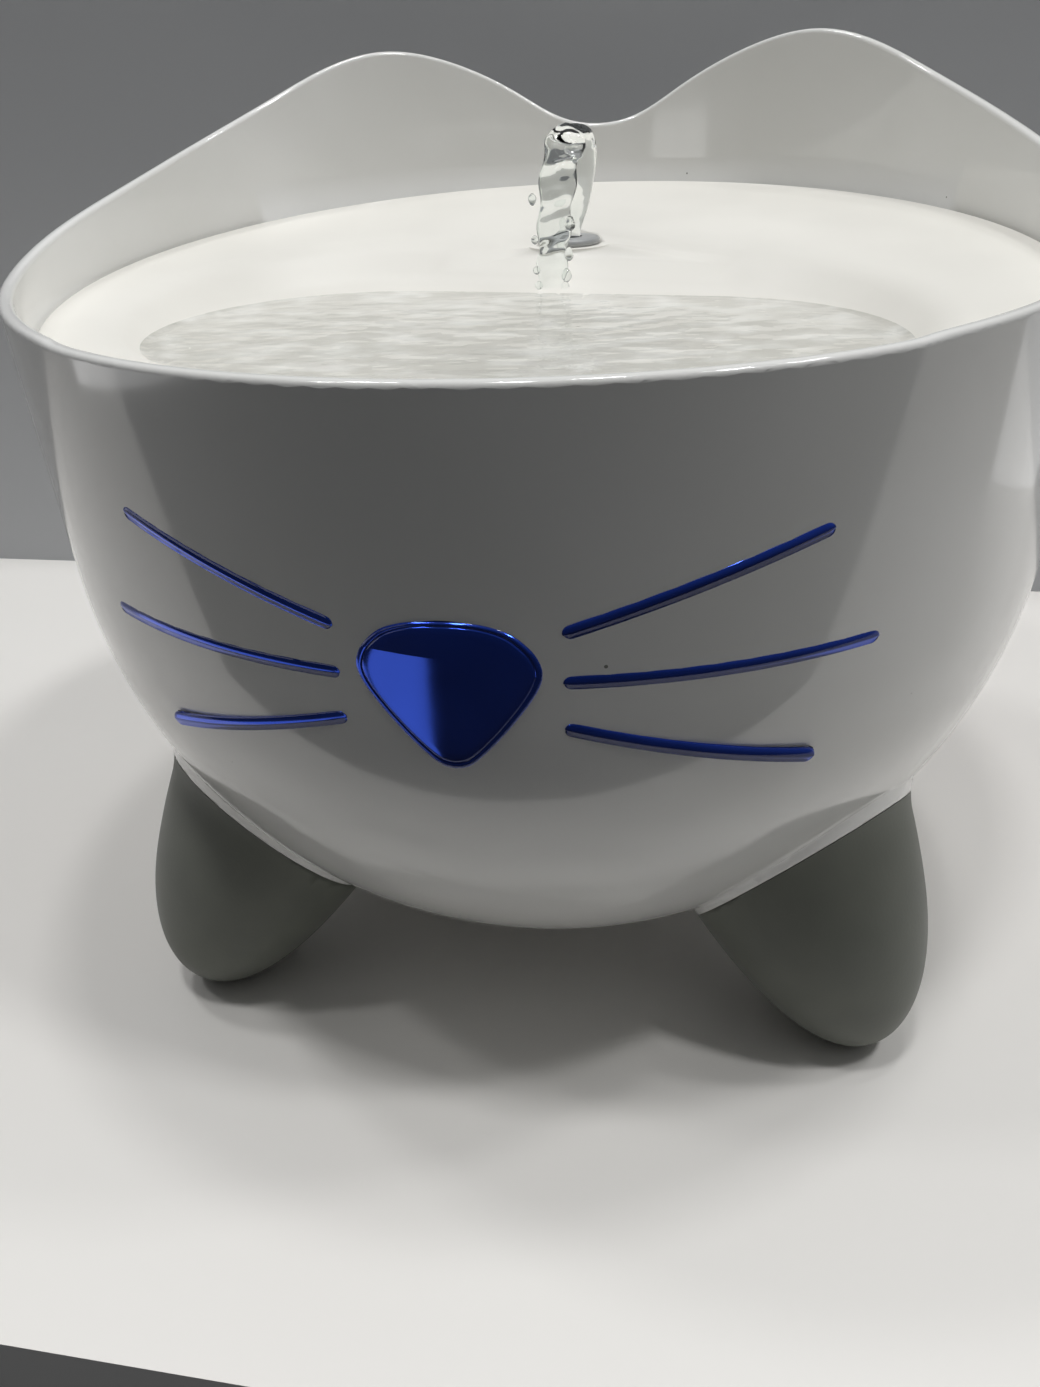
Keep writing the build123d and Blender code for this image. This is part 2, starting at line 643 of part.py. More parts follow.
def chute_sketch(margin):
    """Outline of the fan that the water runs down from the spout to the pool."""
    with BuildSketch() as outline:
        for x, y, radius in CHUTE_ENDS:
            with Locations((x, y)):
                Circle(radius + margin)
        make_hull()
    return outline.sketch_local


# The hollow that is pressed into the dish, on the dish's own plane: a pool with a
# round foot, and the fan.
with BuildPart() as hollow:
    with BuildSketch(Plane.XY):
        add(pool_sketch(0))
    extrude(amount=-BASIN_DEPTH, taper=BASIN_TAPER)
    fillet(hollow.faces().sort_by(Axis.Z)[0].edges(), BASIN_FLOOR_ROUND)
    with BuildSketch(Plane.XY):
        add(chute_sketch(0))
    extrude(amount=-CHUTE_DEPTH, taper=CHUTE_TAPER)

with BuildPart() as drinking_dish:
    # Tilted plate with a turned-down edge.
    with BuildSketch(DISH_PLANE):
        Circle(DISH_RADIUS)
    extrude(amount=-DISH_EDGE)
    fillet(drinking_dish.faces().sort_by(DISH_AXIS)[-1].edges(), DISH_EDGE_ROUND)
    with BuildSketch(DISH_PLANE.offset(-DISH_EDGE)):
        Circle(DISH_RADIUS - DISH_SKIN)
    extrude(amount=DISH_EDGE - DISH_SKIN, mode=Mode.SUBTRACT)

    # Pan under the hollow and the filter's socket.
    with BuildSketch(DISH_PLANE.offset(-DISH_SKIN)):
        add(pool_sketch(DISH_SKIN))
    extrude(amount=-BASIN_DEPTH, taper=BASIN_TAPER)
    with BuildSketch(DISH_PLANE.offset(-DISH_SKIN)):
        add(chute_sketch(DISH_SKIN))
    extrude(amount=-CHUTE_DEPTH, taper=CHUTE_TAPER)
    with BuildSketch(Plane.XY.offset(SOCKET_LOW)):
        with Locations((0, FILTER_Y)):
            Circle(SOCKET_OUTER)
            Circle(SOCKET_INNER, mode=Mode.SUBTRACT)
    extrude(amount=SOCKET_HIGH - SOCKET_LOW)

    # The hollow itself, with a soft edge all round.
    add(hollow.part.moved(DISH_PLANE.location), mode=Mode.SUBTRACT)
    plate_face = drinking_dish.faces().filter_by(DISH_AXIS).sort_by(DISH_AXIS)[-1]
    fillet(plate_face.inner_wires()[0].edges(), BASIN_EDGE_ROUND)

    # Round boss that carries the nozzle above and takes the riser below.
    with BuildSketch(Plane.XY.offset(SPOUT_LOW)):
        with Locations((0, SPOUT_Y)):
            Circle(SPOUT_OUTER)
    extrude(amount=SPOUT_TOP - SPOUT_LOW)
    with BuildSketch(Plane.XY.offset(SPOUT_TOP)):
        with Locations((0, SPOUT_Y)):
            Circle(NOZZLE_FLANGE_RADIUS + PLUG_CLEARANCE)
    extrude(amount=SPOUT_SINK, mode=Mode.SUBTRACT)
    with Locations(Plane.XY.offset(SPOUT_TOP)):
        with Locations((0, SPOUT_Y)):
            Hole(NOZZLE_RADIUS, depth=SPOUT_TOP - SPOUT_LOW)
    with BuildSketch(Plane.XY.offset(SPOUT_LOW)):
        with Locations((0, SPOUT_Y)):
            Circle(RISER_SOCKET)
    extrude(amount=NOZZLE_SEAT - SPOUT_LOW, mode=Mode.SUBTRACT)

    # Drain slots from the pool into the filter.
    with BuildSketch(DISH_PLANE.offset(-BASIN_DEPTH - DISH_SKIN)):
        middle = (len(DRAIN_SLOT_LENGTHS) - 1) / 2
        for row, length in enumerate(DRAIN_SLOT_LENGTHS):
            with Locations((0, DRAIN_Y + (row - middle) * DRAIN_SLOT_PITCH)):
                SlotOverall(length, DRAIN_SLOT_WIDTH)
    extrude(amount=BASIN_DEPTH, mode=Mode.SUBTRACT)
save(drinking_dish, "drinking_dish")

# ======================================================================== nozzle
with BuildPart() as spout_nozzle:
    with BuildSketch(Plane.XY.offset(SPOUT_TOP + SEAT_GAP)):
        with Locations((0, SPOUT_Y)):
            Circle(NOZZLE_FLANGE_RADIUS)
    extrude(amount=NOZZLE_FLANGE)
    fillet(spout_nozzle.edges().group_by(Axis.Z)[-1], NOZZLE_FLANGE * 0.6)
    with BuildSketch(Plane.XY.offset(SPOUT_TOP + SEAT_GAP)):
        with Locations((0, SPOUT_Y)):
            Circle(NOZZLE_RADIUS - PLUG_CLEARANCE)
    extrude(amount=-NOZZLE_LENGTH)
    with BuildSketch(Plane.XY.offset(SPOUT_TOP + SEAT_GAP + NOZZLE_FLANGE)):
        with Locations((0, SPOUT_Y)):
            Circle(JET_BORE_RADIUS)
    extrude(amount=-NOZZLE_LENGTH - NOZZLE_FLANGE, mode=Mode.SUBTRACT)
save(spout_nozzle, "spout_nozzle")

# ============================================================ filter cartridge
CARTRIDGE_TOP = dish_height(FILTER_Y - FILTER_RADIUS) - BASIN_DEPTH - DISH_SKIN - FILTER_HEAD_ROOM
CARTRIDGE_FLOOR = SOCKET_LOW - FILTER_BODY_DEPTH
BED_RADIUS = FILTER_RADIUS - FILTER_SHELL


def disc(centre_y, radius, low, high):
    """Upright round plate or plug on the middle line."""
    with BuildPart() as plate:
        with BuildSketch(Plane.XY.offset(low)):
            with Locations((0, centre_y)):
                Circle(radius)
        extrude(amount=high - low)
    return plate.part


def filter_grille(low):
    """Row of parallel slots through a filter wall."""
    with BuildPart() as slots:
        with BuildSketch(Plane.XY.offset(low)):
            middle = (FILTER_SLOT_COUNT - 1) / 2
            for row in range(FILTER_SLOT_COUNT):
                across = (row - middle) * FILTER_SLOT_PITCH
                half_chord = sqrt((BED_RADIUS - FILTER_SHELL) ** 2 - across**2)
                with Locations((across, FILTER_Y)):
                    SlotOverall(2 * half_chord, FILTER_SLOT_WIDTH, rotation=90)
        extrude(amount=FILTER_SHELL)
    return slots.part


with BuildPart() as filter_case:
    add(disc(FILTER_Y, FILTER_RADIUS, CARTRIDGE_FLOOR, CARTRIDGE_TOP - FILTER_SHELL))
    add(
        disc(FILTER_Y, SOCKET_OUTER, SOCKET_LOW - SEAT_GAP - FILTER_LIP, SOCKET_LOW - SEAT_GAP)
    )
    add(
        disc(FILTER_Y, BED_RADIUS, CARTRIDGE_FLOOR + FILTER_SHELL, CARTRIDGE_TOP),
        mode=Mode.SUBTRACT,
    )
    add(filter_grille(CARTRIDGE_FLOOR), mode=Mode.SUBTRACT)
save(filter_case, "filter_case")

bed_floor = CARTRIDGE_FLOOR + FILTER_SHELL + MOULD_CLEARANCE
for label, depth in FILTER_BEDS.items():
    with BuildPart() as bed:
        add(disc(FILTER_Y, BED_RADIUS - MOULD_CLEARANCE, bed_floor, bed_floor + depth))
    save(bed, label)
    bed_floor += depth + MOULD_CLEARANCE

with BuildPart() as filter_lid:
    add(disc(FILTER_Y, FILTER_RADIUS, CARTRIDGE_TOP - FILTER_SHELL, CARTRIDGE_TOP))
    add(
        disc(
            FILTER_Y, BED_RADIUS - MOULD_CLEARANCE,
            bed_floor + MOULD_CLEARANCE, CARTRIDGE_TOP - FILTER_SHELL,
        )
    )
    add(
        disc(
            FILTER_Y, BED_RADIUS - FILTER_SHELL,
            bed_floor + MOULD_CLEARANCE, CARTRIDGE_TOP - FILTER_SHELL,
        ),
        mode=Mode.SUBTRACT,
    )
    add(filter_grille(CARTRIDGE_TOP - FILTER_SHELL), mode=Mode.SUBTRACT)
save(filter_lid, "filter_lid")

# ================================================================= pump casing
CHAMBER_FRONT_X = -CHAMBER_HALF
WELL_FRONT_X = MOTOR_FRONT_X - WELL_FRONT_WALL
CASING_INNER = PUMP_HALF - CASING_WALL
WELL_OUTER = WELL_RADIUS + WELL_WALL
BUSH_POCKET = BUSH_RADIUS + RUNNING_CLEARANCE
BACK_COVER_X = MOTOR_BACK_X - CASING_WALL
LENS_X = BACK_COVER_X - ELECTRONICS_LENGTH / 2
LENS_HEIGHT = PUMP_AXIS_HEIGHT + LENS_RISE
CASING_FRONT_Y = SPOUT_Y - PUMP_HALF
VALVE_PLANE = Plane(origin=(0, SPOUT_Y, VALVE_AXIS_HEIGHT), x_dir=(1, 0, 0), z_dir=(0, -1, 0))
CUP_SPOTS = [
    (CUP_CENTRE_X + i * CUP_SPACING[0] / 2, SPOUT_Y + j * CUP_SPACING[1] / 2)
    for i in (-1, 1)
    for j in (-1, 1)
]
SCREW_TURNS = PolarLocations(COVER_SCREW_CIRCLE, 4, start_angle=45)


def drum(radius, start, end):
    """Round plug along the pump's axis between two world x stations."""
    with BuildPart() as plug:
        with BuildSketch(along_pump(start)):
            Circle(radius)
        extrude(amount=end - start)
    return plug.part


with BuildPart() as pump_housing:
    # Square motor case, open at the back, with the volute in front of it.
    with BuildSketch(along_pump(MOTOR_FRONT_X)):
        RectangleRounded(2 * PUMP_HALF, 2 * PUMP_HALF, PUMP_CORNER)
    extrude(amount=MOTOR_LENGTH)
    with BuildSketch(along_pump(MOTOR_FRONT_X + CASING_WALL)):
        RectangleRounded(2 * CASING_INNER, 2 * CASING_INNER, PUMP_CORNER - CASING_WALL)
    extrude(amount=MOTOR_LENGTH - CASING_WALL, mode=Mode.SUBTRACT)
    add(drum(VOLUTE_RADIUS, CHAMBER_FRONT_X, MOTOR_FRONT_X))
    add(drum(WELL_OUTER, MOTOR_FRONT_X, WELL_BACK_X + BUSH_LENGTH + WELL_WALL))

    # Outlet block with its spigot.
    add(disc(SPOUT_Y, OUTLET_NECK_RADIUS, PUMP_AXIS_HEIGHT + CHAMBER_RADIUS, SPIGOT_FOOT))
    add(disc(SPOUT_Y, VALVE_BLOCK_RADIUS, PUMP_TOP + OUTLET_NECK_RISE, SPIGOT_FOOT))
    add(disc(SPOUT_Y, RISER_BORE_RADIUS - MOULD_CLEARANCE, SPIGOT_FOOT, SPIGOT_TOP))

    # Impeller chamber, rotor well, bush pocket and outlet bore.
    add(drum(CHAMBER_RADIUS, CHAMBER_FRONT_X, WELL_FRONT_X), mode=Mode.SUBTRACT)
    add(drum(WELL_RADIUS, WELL_FRONT_X, WELL_BACK_X), mode=Mode.SUBTRACT)
    add(drum(BUSH_POCKET, WELL_BACK_X, WELL_BACK_X + BUSH_LENGTH), mode=Mode.SUBTRACT)
    add(
        disc(SPOUT_Y, OUTLET_BORE_RADIUS, PUMP_AXIS_HEIGHT, SPIGOT_TOP),
        mode=Mode.SUBTRACT,
    )
    with BuildSketch(VALVE_PLANE.offset(VALVE_BLOCK_RADIUS)):
        Circle(VALVE_RADIUS + RUNNING_CLEARANCE)
    extrude(amount=-VALVE_BORE_DEPTH, mode=Mode.SUBTRACT)

    # Lens hole, suction cup sockets and cover screw holes.
    with BuildSketch(Plane(origin=(LENS_X, CASING_FRONT_Y, LENS_HEIGHT), z_dir=(0, -1, 0))):
        Circle(LENS_RADIUS)
    extrude(amount=-CASING_WALL, mode=Mode.SUBTRACT)
    with BuildSketch(Plane.XY.offset(PUMP_BOTTOM)):
        with Locations(*CUP_SPOTS):
            Circle(CUP_NECK_RADIUS)
    extrude(amount=CUP_NECK_LENGTH, mode=Mode.SUBTRACT)
    with BuildSketch(along_pump(CHAMBER_FRONT_X)):
        with SCREW_TURNS:
            Circle(COVER_SCREW_RADIUS)
    extrude(amount=COVER_SCREW_LENGTH, mode=Mode.SUBTRACT)
save(pump_housing, "pump_housing")

# Plate that closes the back of the motor case; the cord's gland sits in it.
with BuildPart() as back_cover:
    with BuildSketch(along_pump(BACK_COVER_X)):
        RectangleRounded(
            2 * (CASING_INNER - MOULD_CLEARANCE), 2 * (CASING_INNER - MOULD_CLEARANCE),
            PUMP_CORNER - CASING_WALL,
        )
        with Locations((0, GLAND_RISE)):
            Circle(CABLE_GLAND_RADIUS - GLAND_GROOVE + RUNNING_CLEARANCE, mode=Mode.SUBTRACT)
    extrude(amount=CASING_WALL)
save(back_cover, "back_cover")

with BuildPart() as pump_gland:
    with BuildSketch(along_pump(MOTOR_BACK_X + RUNNING_CLEARANCE)):
        with Locations((0, GLAND_RISE)):
            Circle(CABLE_GLAND_RADIUS)
    extrude(amount=CABLE_GLAND_LENGTH, taper=6)
    with BuildSketch(along_pump(BACK_COVER_X)):
        with Locations((0, GLAND_RISE)):
            Circle(CABLE_GLAND_RADIUS - GLAND_GROOVE)
    extrude(amount=CASING_WALL + 2 * RUNNING_CLEARANCE)
    with BuildSketch(along_pump(BACK_COVER_X)):
        with Locations((0, GLAND_RISE)):
            Circle(CABLE_BORE_RADIUS)
    extrude(amount=CASING_WALL + CABLE_GLAND_LENGTH + CABLE_BORE_RADIUS, mode=Mode.SUBTRACT)
save(pump_gland, "pump_gland")

# ================================================================== stator
STATOR_INNER = WELL_OUTER + STATOR_GAP
STATOR_OUTER = CASING_INNER - STATOR_GAP
STATOR_START = MOTOR_FRONT_X + CASING_WALL + COIL_THICKNESS + 2 * STATOR_GAP
TOOTH_LENGTH = STATOR_OUTER - STATOR_RING - STATOR_INNER

with BuildPart() as stator_core:
    with BuildSketch(along_pump(STATOR_START)):
        Circle(STATOR_OUTER)
        Circle(STATOR_OUTER - STATOR_RING, mode=Mode.SUBTRACT)
        with PolarLocations(STATOR_INNER + TOOTH_LENGTH / 2 + STATOR_GAP, STATOR_TEETH):
            Rectangle(TOOTH_LENGTH + STATOR_GAP, TOOTH_WIDTH)
        Circle(STATOR_INNER, mode=Mode.SUBTRACT)
    extrude(amount=STATOR_STACK)
save(stator_core, "stator_core")

# One winding round each tooth.
with BuildPart() as stator_coils:
    winding = (STATOR_INNER + STATOR_OUTER - STATOR_RING) / 2
    reach = TOOTH_LENGTH - 4 * STATOR_GAP
    for margin, mode in ((COIL_THICKNESS, Mode.ADD), (STATOR_GAP / 2, Mode.SUBTRACT)):
        with BuildSketch(along_pump(STATOR_START - margin)):
            with PolarLocations(winding, STATOR_TEETH):
                Rectangle(reach, TOOTH_WIDTH + 2 * margin)
        extrude(amount=STATOR_STACK + 2 * margin, mode=mode)
save(stator_coils, "stator_coils")

# ============================================================= drive and light
with BuildPart() as drive_board:
    board_plane = Plane(
        origin=(LENS_X, CASING_FRONT_Y + CASING_WALL + BOARD_STAND, PUMP_AXIS_HEIGHT),
        x_dir=(1, 0, 0), z_dir=(0, -1, 0),
    )
    with BuildSketch(board_plane):
        Rectangle(ELECTRONICS_LENGTH - 2 * STATOR_GAP, 2 * CASING_INNER - 4 * PUMP_CORNER / 5)
    extrude(amount=-BOARD_THICKNESS)
    with BuildSketch(board_plane):
        with Locations((0, LENS_RISE)):
            Rectangle(LED_SIZE, LED_SIZE)
    extrude(amount=BOARD_STAND - LENS_FLANGE - STATOR_GAP)
save(drive_board, "drive_board")

with BuildPart() as light_lens:
    lens_plane = Plane(origin=(LENS_X, CASING_FRONT_Y, LENS_HEIGHT), z_dir=(0, -1, 0))
    with BuildSketch(lens_plane):
        Circle(LENS_RADIUS - RUNNING_CLEARANCE)
    extrude(amount=-CASING_WALL - LENS_FLANGE)
    with BuildSketch(lens_plane.offset(-CASING_WALL - RUNNING_CLEARANCE)):
        Circle(LENS_FLANGE_RADIUS)
    extrude(amount=-LENS_FLANGE + RUNNING_CLEARANCE)
save(light_lens, "light_lens")

# ================================================================= rotor parts
ROTOR_START = WELL_FRONT_X + MAGNET_END_GAP
ROTOR_END = ROTOR_START + MAGNET_LENGTH
BLADES_END = WELL_FRONT_X - BACK_PLATE - MAGNET_END_GAP
SHAFT_START = CHAMBER_FRONT_X - COVER_THICKNESS - BUSH_STAND
SHAFT_END = WELL_BACK_X + BUSH_LENGTH

with BuildPart() as rotor_shaft:
    add(drum(SHAFT_RADIUS, SHAFT_START, SHAFT_END - SEAT_GAP))
save(rotor_shaft, "rotor_shaft")

with BuildPart() as shaft_bushes:
    add(drum(BUSH_RADIUS, WELL_BACK_X, WELL_BACK_X + BUSH_LENGTH))
    add(drum(BUSH_RADIUS, SHAFT_START, SHAFT_START + BUSH_LENGTH))
    add(drum(SHAFT_RADIUS, SHAFT_START, SHAFT_END), mode=Mode.SUBTRACT)
save(shaft_bushes, "shaft_bushes")

# Vaned wheel on a sleeve that runs through the magnet.
with BuildPart() as impeller:
    sleeve = SHAFT_RADIUS + SLEEVE_WALL
    add(drum(HUB_RADIUS, BLADES_END - BLADE_DEPTH, BLADES_END))
    add(drum(IMPELLER_RADIUS, BLADES_END, BLADES_END + BACK_PLATE))
    with BuildSketch(along_pump(BLADES_END - BLADE_DEPTH)):
        with PolarLocations((HUB_RADIUS + IMPELLER_RADIUS) / 2 - BLADE_THICKNESS / 4, IMPELLER_BLADES):
            Rectangle(IMPELLER_RADIUS - HUB_RADIUS + BLADE_THICKNESS / 2, BLADE_THICKNESS)
        Circle(IMPELLER_RADIUS, mode=Mode.INTERSECT)
    extrude(amount=BLADE_DEPTH)
    add(drum(sleeve, BLADES_END, ROTOR_END + SEAT_GAP))
    add(
        drum(SHAFT_RADIUS + RUNNING_CLEARANCE, SHAFT_START, ROTOR_END + 1),
        mode=Mode.SUBTRACT,
    )
save(impeller, "impeller")

with BuildPart() as rotor_magnet:
    add(drum(MAGNET_RADIUS, ROTOR_START, ROTOR_END))
    add(drum(sleeve + RUNNING_CLEARANCE, ROTOR_START, ROTOR_END), mode=Mode.SUBTRACT)
save(rotor_magnet, "rotor_magnet")

# ============================================================== impeller cover
with BuildPart() as impeller_cover:
    add(drum(VOLUTE_RADIUS, CHAMBER_FRONT_X - COVER_THICKNESS, CHAMBER_FRONT_X))
    add(
        drum(EYE_RADIUS, CHAMBER_FRONT_X - COVER_THICKNESS, CHAMBER_FRONT_X),
        mode=Mode.SUBTRACT,
    )
    with BuildSketch(along_pump(CHAMBER_FRONT_X - COVER_THICKNESS)):
        with PolarLocations((EYE_RADIUS + BUSH_POCKET) / 2, 3, start_angle=90):
            Rectangle(EYE_RADIUS - BUSH_POCKET + 1, SPIDER_ARM)
    extrude(amount=COVER_THICKNESS)
    add(
        drum(
            BUSH_POCKET + WELL_WALL, SHAFT_START - WELL_WALL, SHAFT_START + BUSH_LENGTH
        )
    )
    add(drum(BUSH_POCKET, SHAFT_START, SHAFT_START + BUSH_LENGTH), mode=Mode.SUBTRACT)
    with BuildSketch(along_pump(CHAMBER_FRONT_X)):
        with SCREW_TURNS:
            Circle(COVER_SCREW_RADIUS + MOULD_CLEARANCE)
    extrude(amount=-COVER_THICKNESS, mode=Mode.SUBTRACT)
save(impeller_cover, "impeller_cover")

with BuildPart() as cover_screws:
    head_plane = along_pump(CHAMBER_FRONT_X - COVER_THICKNESS)
    with BuildSketch(head_plane):
        with SCREW_TURNS:
            Circle(COVER_SCREW_HEAD_RADIUS)
    extrude(amount=-COVER_SCREW_HEAD)
    with BuildSketch(head_plane):
        with SCREW_TURNS:
            Circle(COVER_SCREW_RADIUS - RUNNING_CLEARANCE)
    extrude(amount=COVER_THICKNESS + COVER_SCREW_LENGTH - SEAT_GAP)
save(cover_screws, "cover_screws")

# ================================================================ intake parts
INTAKE_INNER = VOLUTE_RADIUS + PLUG_CLEARANCE
INTAKE_OUTER = INTAKE_INNER + INTAKE_WALL
INTAKE_MOUTH = CHAMBER_FRONT_X - COVER_THICKNESS + INTAKE_LAP
INTAKE_FACE = CHAMBER_FRONT_X - COVER_THICKNESS - INTAKE_LENGTH

with BuildPart() as intake_cover:
    add(drum(INTAKE_OUTER, INTAKE_FACE, INTAKE_MOUTH))
    add(drum(INTAKE_INNER, INTAKE_FACE + INTAKE_WALL, INTAKE_MOUTH), mode=Mode.SUBTRACT)
    with BuildSketch(along_pump(INTAKE_FACE)):
        middle = (INTAKE_SLOTS - 1) / 2
        for row in range(INTAKE_SLOTS):
            across = (row - middle) * INTAKE_SLOT_PITCH
            half_chord = sqrt((INTAKE_INNER - INTAKE_WALL) ** 2 - across**2)
            with Locations((across, 0)):
                SlotOverall(2 * half_chord, INTAKE_SLOT_WIDTH, rotation=90)
    extrude(amount=INTAKE_WALL, mode=Mode.SUBTRACT)
save(intake_cover, "intake_cover")

with BuildPart() as foam_filter:
    add(
        drum(
            INTAKE_INNER - FOAM_CLEARANCE, INTAKE_FACE + INTAKE_WALL + SEAT_GAP,
            SHAFT_START - WELL_WALL - FOAM_CLEARANCE,
        )
    )
save(foam_filter, "foam_filter")

# ================================================================ outlet valve
with BuildPart() as flow_valve:
    with BuildSketch(VALVE_PLANE.offset(VALVE_BLOCK_RADIUS - VALVE_BORE_DEPTH + SEAT_GAP)):
        Circle(VALVE_RADIUS)
    extrude(amount=VALVE_BORE_DEPTH)
    add(
        disc(
            SPOUT_Y, OUTLET_BORE_RADIUS,
            VALVE_AXIS_HEIGHT - 2 * VALVE_RADIUS, VALVE_AXIS_HEIGHT + 2 * VALVE_RADIUS,
        ),
        mode=Mode.SUBTRACT,
    )
    with BuildSketch(VALVE_PLANE.offset(VALVE_BLOCK_RADIUS + SEAT_GAP)):
        Circle(KNOB_RADIUS)
        with PolarLocations(KNOB_RADIUS, KNOB_FLUTES):
            Circle(KNOB_FLUTE_RADIUS, mode=Mode.SUBTRACT)
    extrude(amount=KNOB_DEPTH)
save(flow_valve, "flow_valve")

# ================================================================ suction cups
with BuildPart() as suction_cups:
    cup_top = PUMP_BOTTOM - RUNNING_CLEARANCE
    for x, y in CUP_SPOTS:
        cup_section = Plane(origin=(x, y, FLOOR_HEIGHT + SEAT_GAP), x_dir=(1, 0, 0), z_dir=(0, -1, 0))
        with BuildSketch(cup_section):
            with BuildLine():
                Polyline(
                    (0, CUP_HOLLOW),
                    (CUP_RADIUS - CUP_LIP, 0),
                    (CUP_RADIUS, 0),
                    (CUP_NECK_RADIUS + CUP_LIP, cup_top - FLOOR_HEIGHT - SEAT_GAP),
                    (CUP_NECK_RADIUS - RUNNING_CLEARANCE, cup_top - FLOOR_HEIGHT - SEAT_GAP),
                    (
                        CUP_NECK_RADIUS - RUNNING_CLEARANCE,
                        PUMP_BOTTOM + CUP_NECK_LENGTH - FLOOR_HEIGHT - 2 * SEAT_GAP,
                    ),
                    (0, PUMP_BOTTOM + CUP_NECK_LENGTH - FLOOR_HEIGHT - 2 * SEAT_GAP),
                    close=True,
                )
            make_face()
        revolve(axis=Axis((x, y, 0), (0, 0, 1)))
save(suction_cups, "suction_cups")

# ================================================================ riser and seal
RISER_TOP = SPOUT_LOW + RISER_ENTRY

with BuildPart() as riser_tube:
    add(disc(SPOUT_Y, RISER_RADIUS, SPIGOT_FOOT + MOULD_CLEARANCE, RISER_TOP))
    add(
        disc(SPOUT_Y, RISER_BORE_RADIUS, SPIGOT_FOOT + MOULD_CLEARANCE, RISER_TOP),
        mode=Mode.SUBTRACT,
    )
save(riser_tube, "riser_tube")

with BuildPart() as riser_seal:
    seal_low = RISER_TOP - SEAL_LENGTH - SEAT_GAP
    add(disc(SPOUT_Y, RISER_SOCKET - RUNNING_CLEARANCE, seal_low, seal_low + SEAL_LENGTH))
    add(
        disc(SPOUT_Y, RISER_RADIUS + RUNNING_CLEARANCE / 5, seal_low, seal_low + SEAL_LENGTH),
        mode=Mode.SUBTRACT,
    )
save(riser_seal, "riser_seal")
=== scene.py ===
import json
import math

import bmesh
import bpy
from mathutils import Matrix, Vector
from mathutils.bvhtree import BVHTree


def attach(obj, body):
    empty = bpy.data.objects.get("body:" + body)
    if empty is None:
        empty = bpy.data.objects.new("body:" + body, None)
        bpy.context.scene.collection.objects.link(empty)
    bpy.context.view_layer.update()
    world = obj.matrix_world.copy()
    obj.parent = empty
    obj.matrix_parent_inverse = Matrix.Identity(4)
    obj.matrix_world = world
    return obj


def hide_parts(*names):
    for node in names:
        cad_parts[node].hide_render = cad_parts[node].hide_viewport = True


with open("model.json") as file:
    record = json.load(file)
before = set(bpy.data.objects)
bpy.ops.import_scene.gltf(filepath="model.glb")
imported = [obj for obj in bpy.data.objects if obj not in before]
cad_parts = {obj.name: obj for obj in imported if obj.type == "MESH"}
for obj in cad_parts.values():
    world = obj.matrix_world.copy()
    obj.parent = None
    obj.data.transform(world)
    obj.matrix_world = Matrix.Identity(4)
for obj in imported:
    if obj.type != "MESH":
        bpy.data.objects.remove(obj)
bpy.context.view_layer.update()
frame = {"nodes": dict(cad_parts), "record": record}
nodes = frame["nodes"]
body_of = {node: body for body, group in frame["record"]["behaviour"]["bodies"].items() for node in group}
MM = 0.001

# ---------------------------------------------------------------- reservoir
# The bowl is one injection moulding in gloss white ABS. Its wall runs up into
# two rounded ears at the back and down into four flared stubs over the feet.

RIM_RADIUS = 115.0      # mm, like every size that isn't marked
RIM_HEIGHT = 162.0
BELLY_HEIGHT = 113.0    # of the belly's centre
WALL_LEAN = 0.025       # outwards, mm per mm of height
BELLY_RADIUS = (RIM_RADIUS - WALL_LEAN * (RIM_HEIGHT - BELLY_HEIGHT)) * math.cos(math.atan(WALL_LEAN))
TANGENT_HEIGHT = BELLY_HEIGHT - BELLY_RADIUS * math.sin(math.atan(WALL_LEAN))
BOWL_WALL = 2.8
PLAIN_WALL = 0.985      # cosine: a face this near the wall's exact normal is plain wall
SOFT_CORNER = 0.93      # cosine: a corner further off than this belongs to an edge
MERGE_DISTANCE = 2e-6   # metres
SPECK_PITCH = 16.0
SPECK_RADIUS = 0.32


def linear(code):
    """Linear RGBA of an sRGB hex colour."""
    parts = [int(code[i:i + 2], 16) / 255 for i in (1, 3, 5)]
    return tuple(c / 12.92 if c <= 0.04045 else ((c + 0.055) / 1.055) ** 2.4 for c in parts) + (1.0,)


def add(tree, kind, values=None, links=None, **settings):
    """Add a node with its settings, input values and links into its inputs."""
    made = tree.nodes.new(kind)
    for key, value in settings.items():
        setattr(made, key, value)
    for key, value in (values or {}).items():
        made.inputs[key].default_value = value
    for key, source in (links or {}).items():
        tree.links.new(source, made.inputs[key])
    return made


def start_material(name, **values):
    """New material with a Principled shader whose plain sockets are set."""
    material = bpy.data.materials.new(name)
    material.use_nodes = True
    tree = material.node_tree
    tree.nodes.clear()
    shader = add(tree, "ShaderNodeBsdfPrincipled", {key.replace("_", " "): v for key, v in values.items()})
    add(tree, "ShaderNodeOutputMaterial", links={"Surface": shader.outputs["BSDF"]})
    return material, tree, shader


def mottle(tree, grain_mm, detail=2.0, roughness=0.5, stretch=(1, 1, 1)):
    """Noise on object coordinates with a grain of a real size."""
    place = add(tree, "ShaderNodeTexCoord").outputs["Object"]
    drawn = add(tree, "ShaderNodeMapping", {"Scale": stretch}, {"Vector": place})
    noise = add(
        tree, "ShaderNodeTexNoise",
        {"Scale": 1 / (grain_mm * MM), "Detail": detail, "Roughness": roughness},
        {"Vector": drawn.outputs["Vector"]},
    )
    return noise.outputs["Fac"]


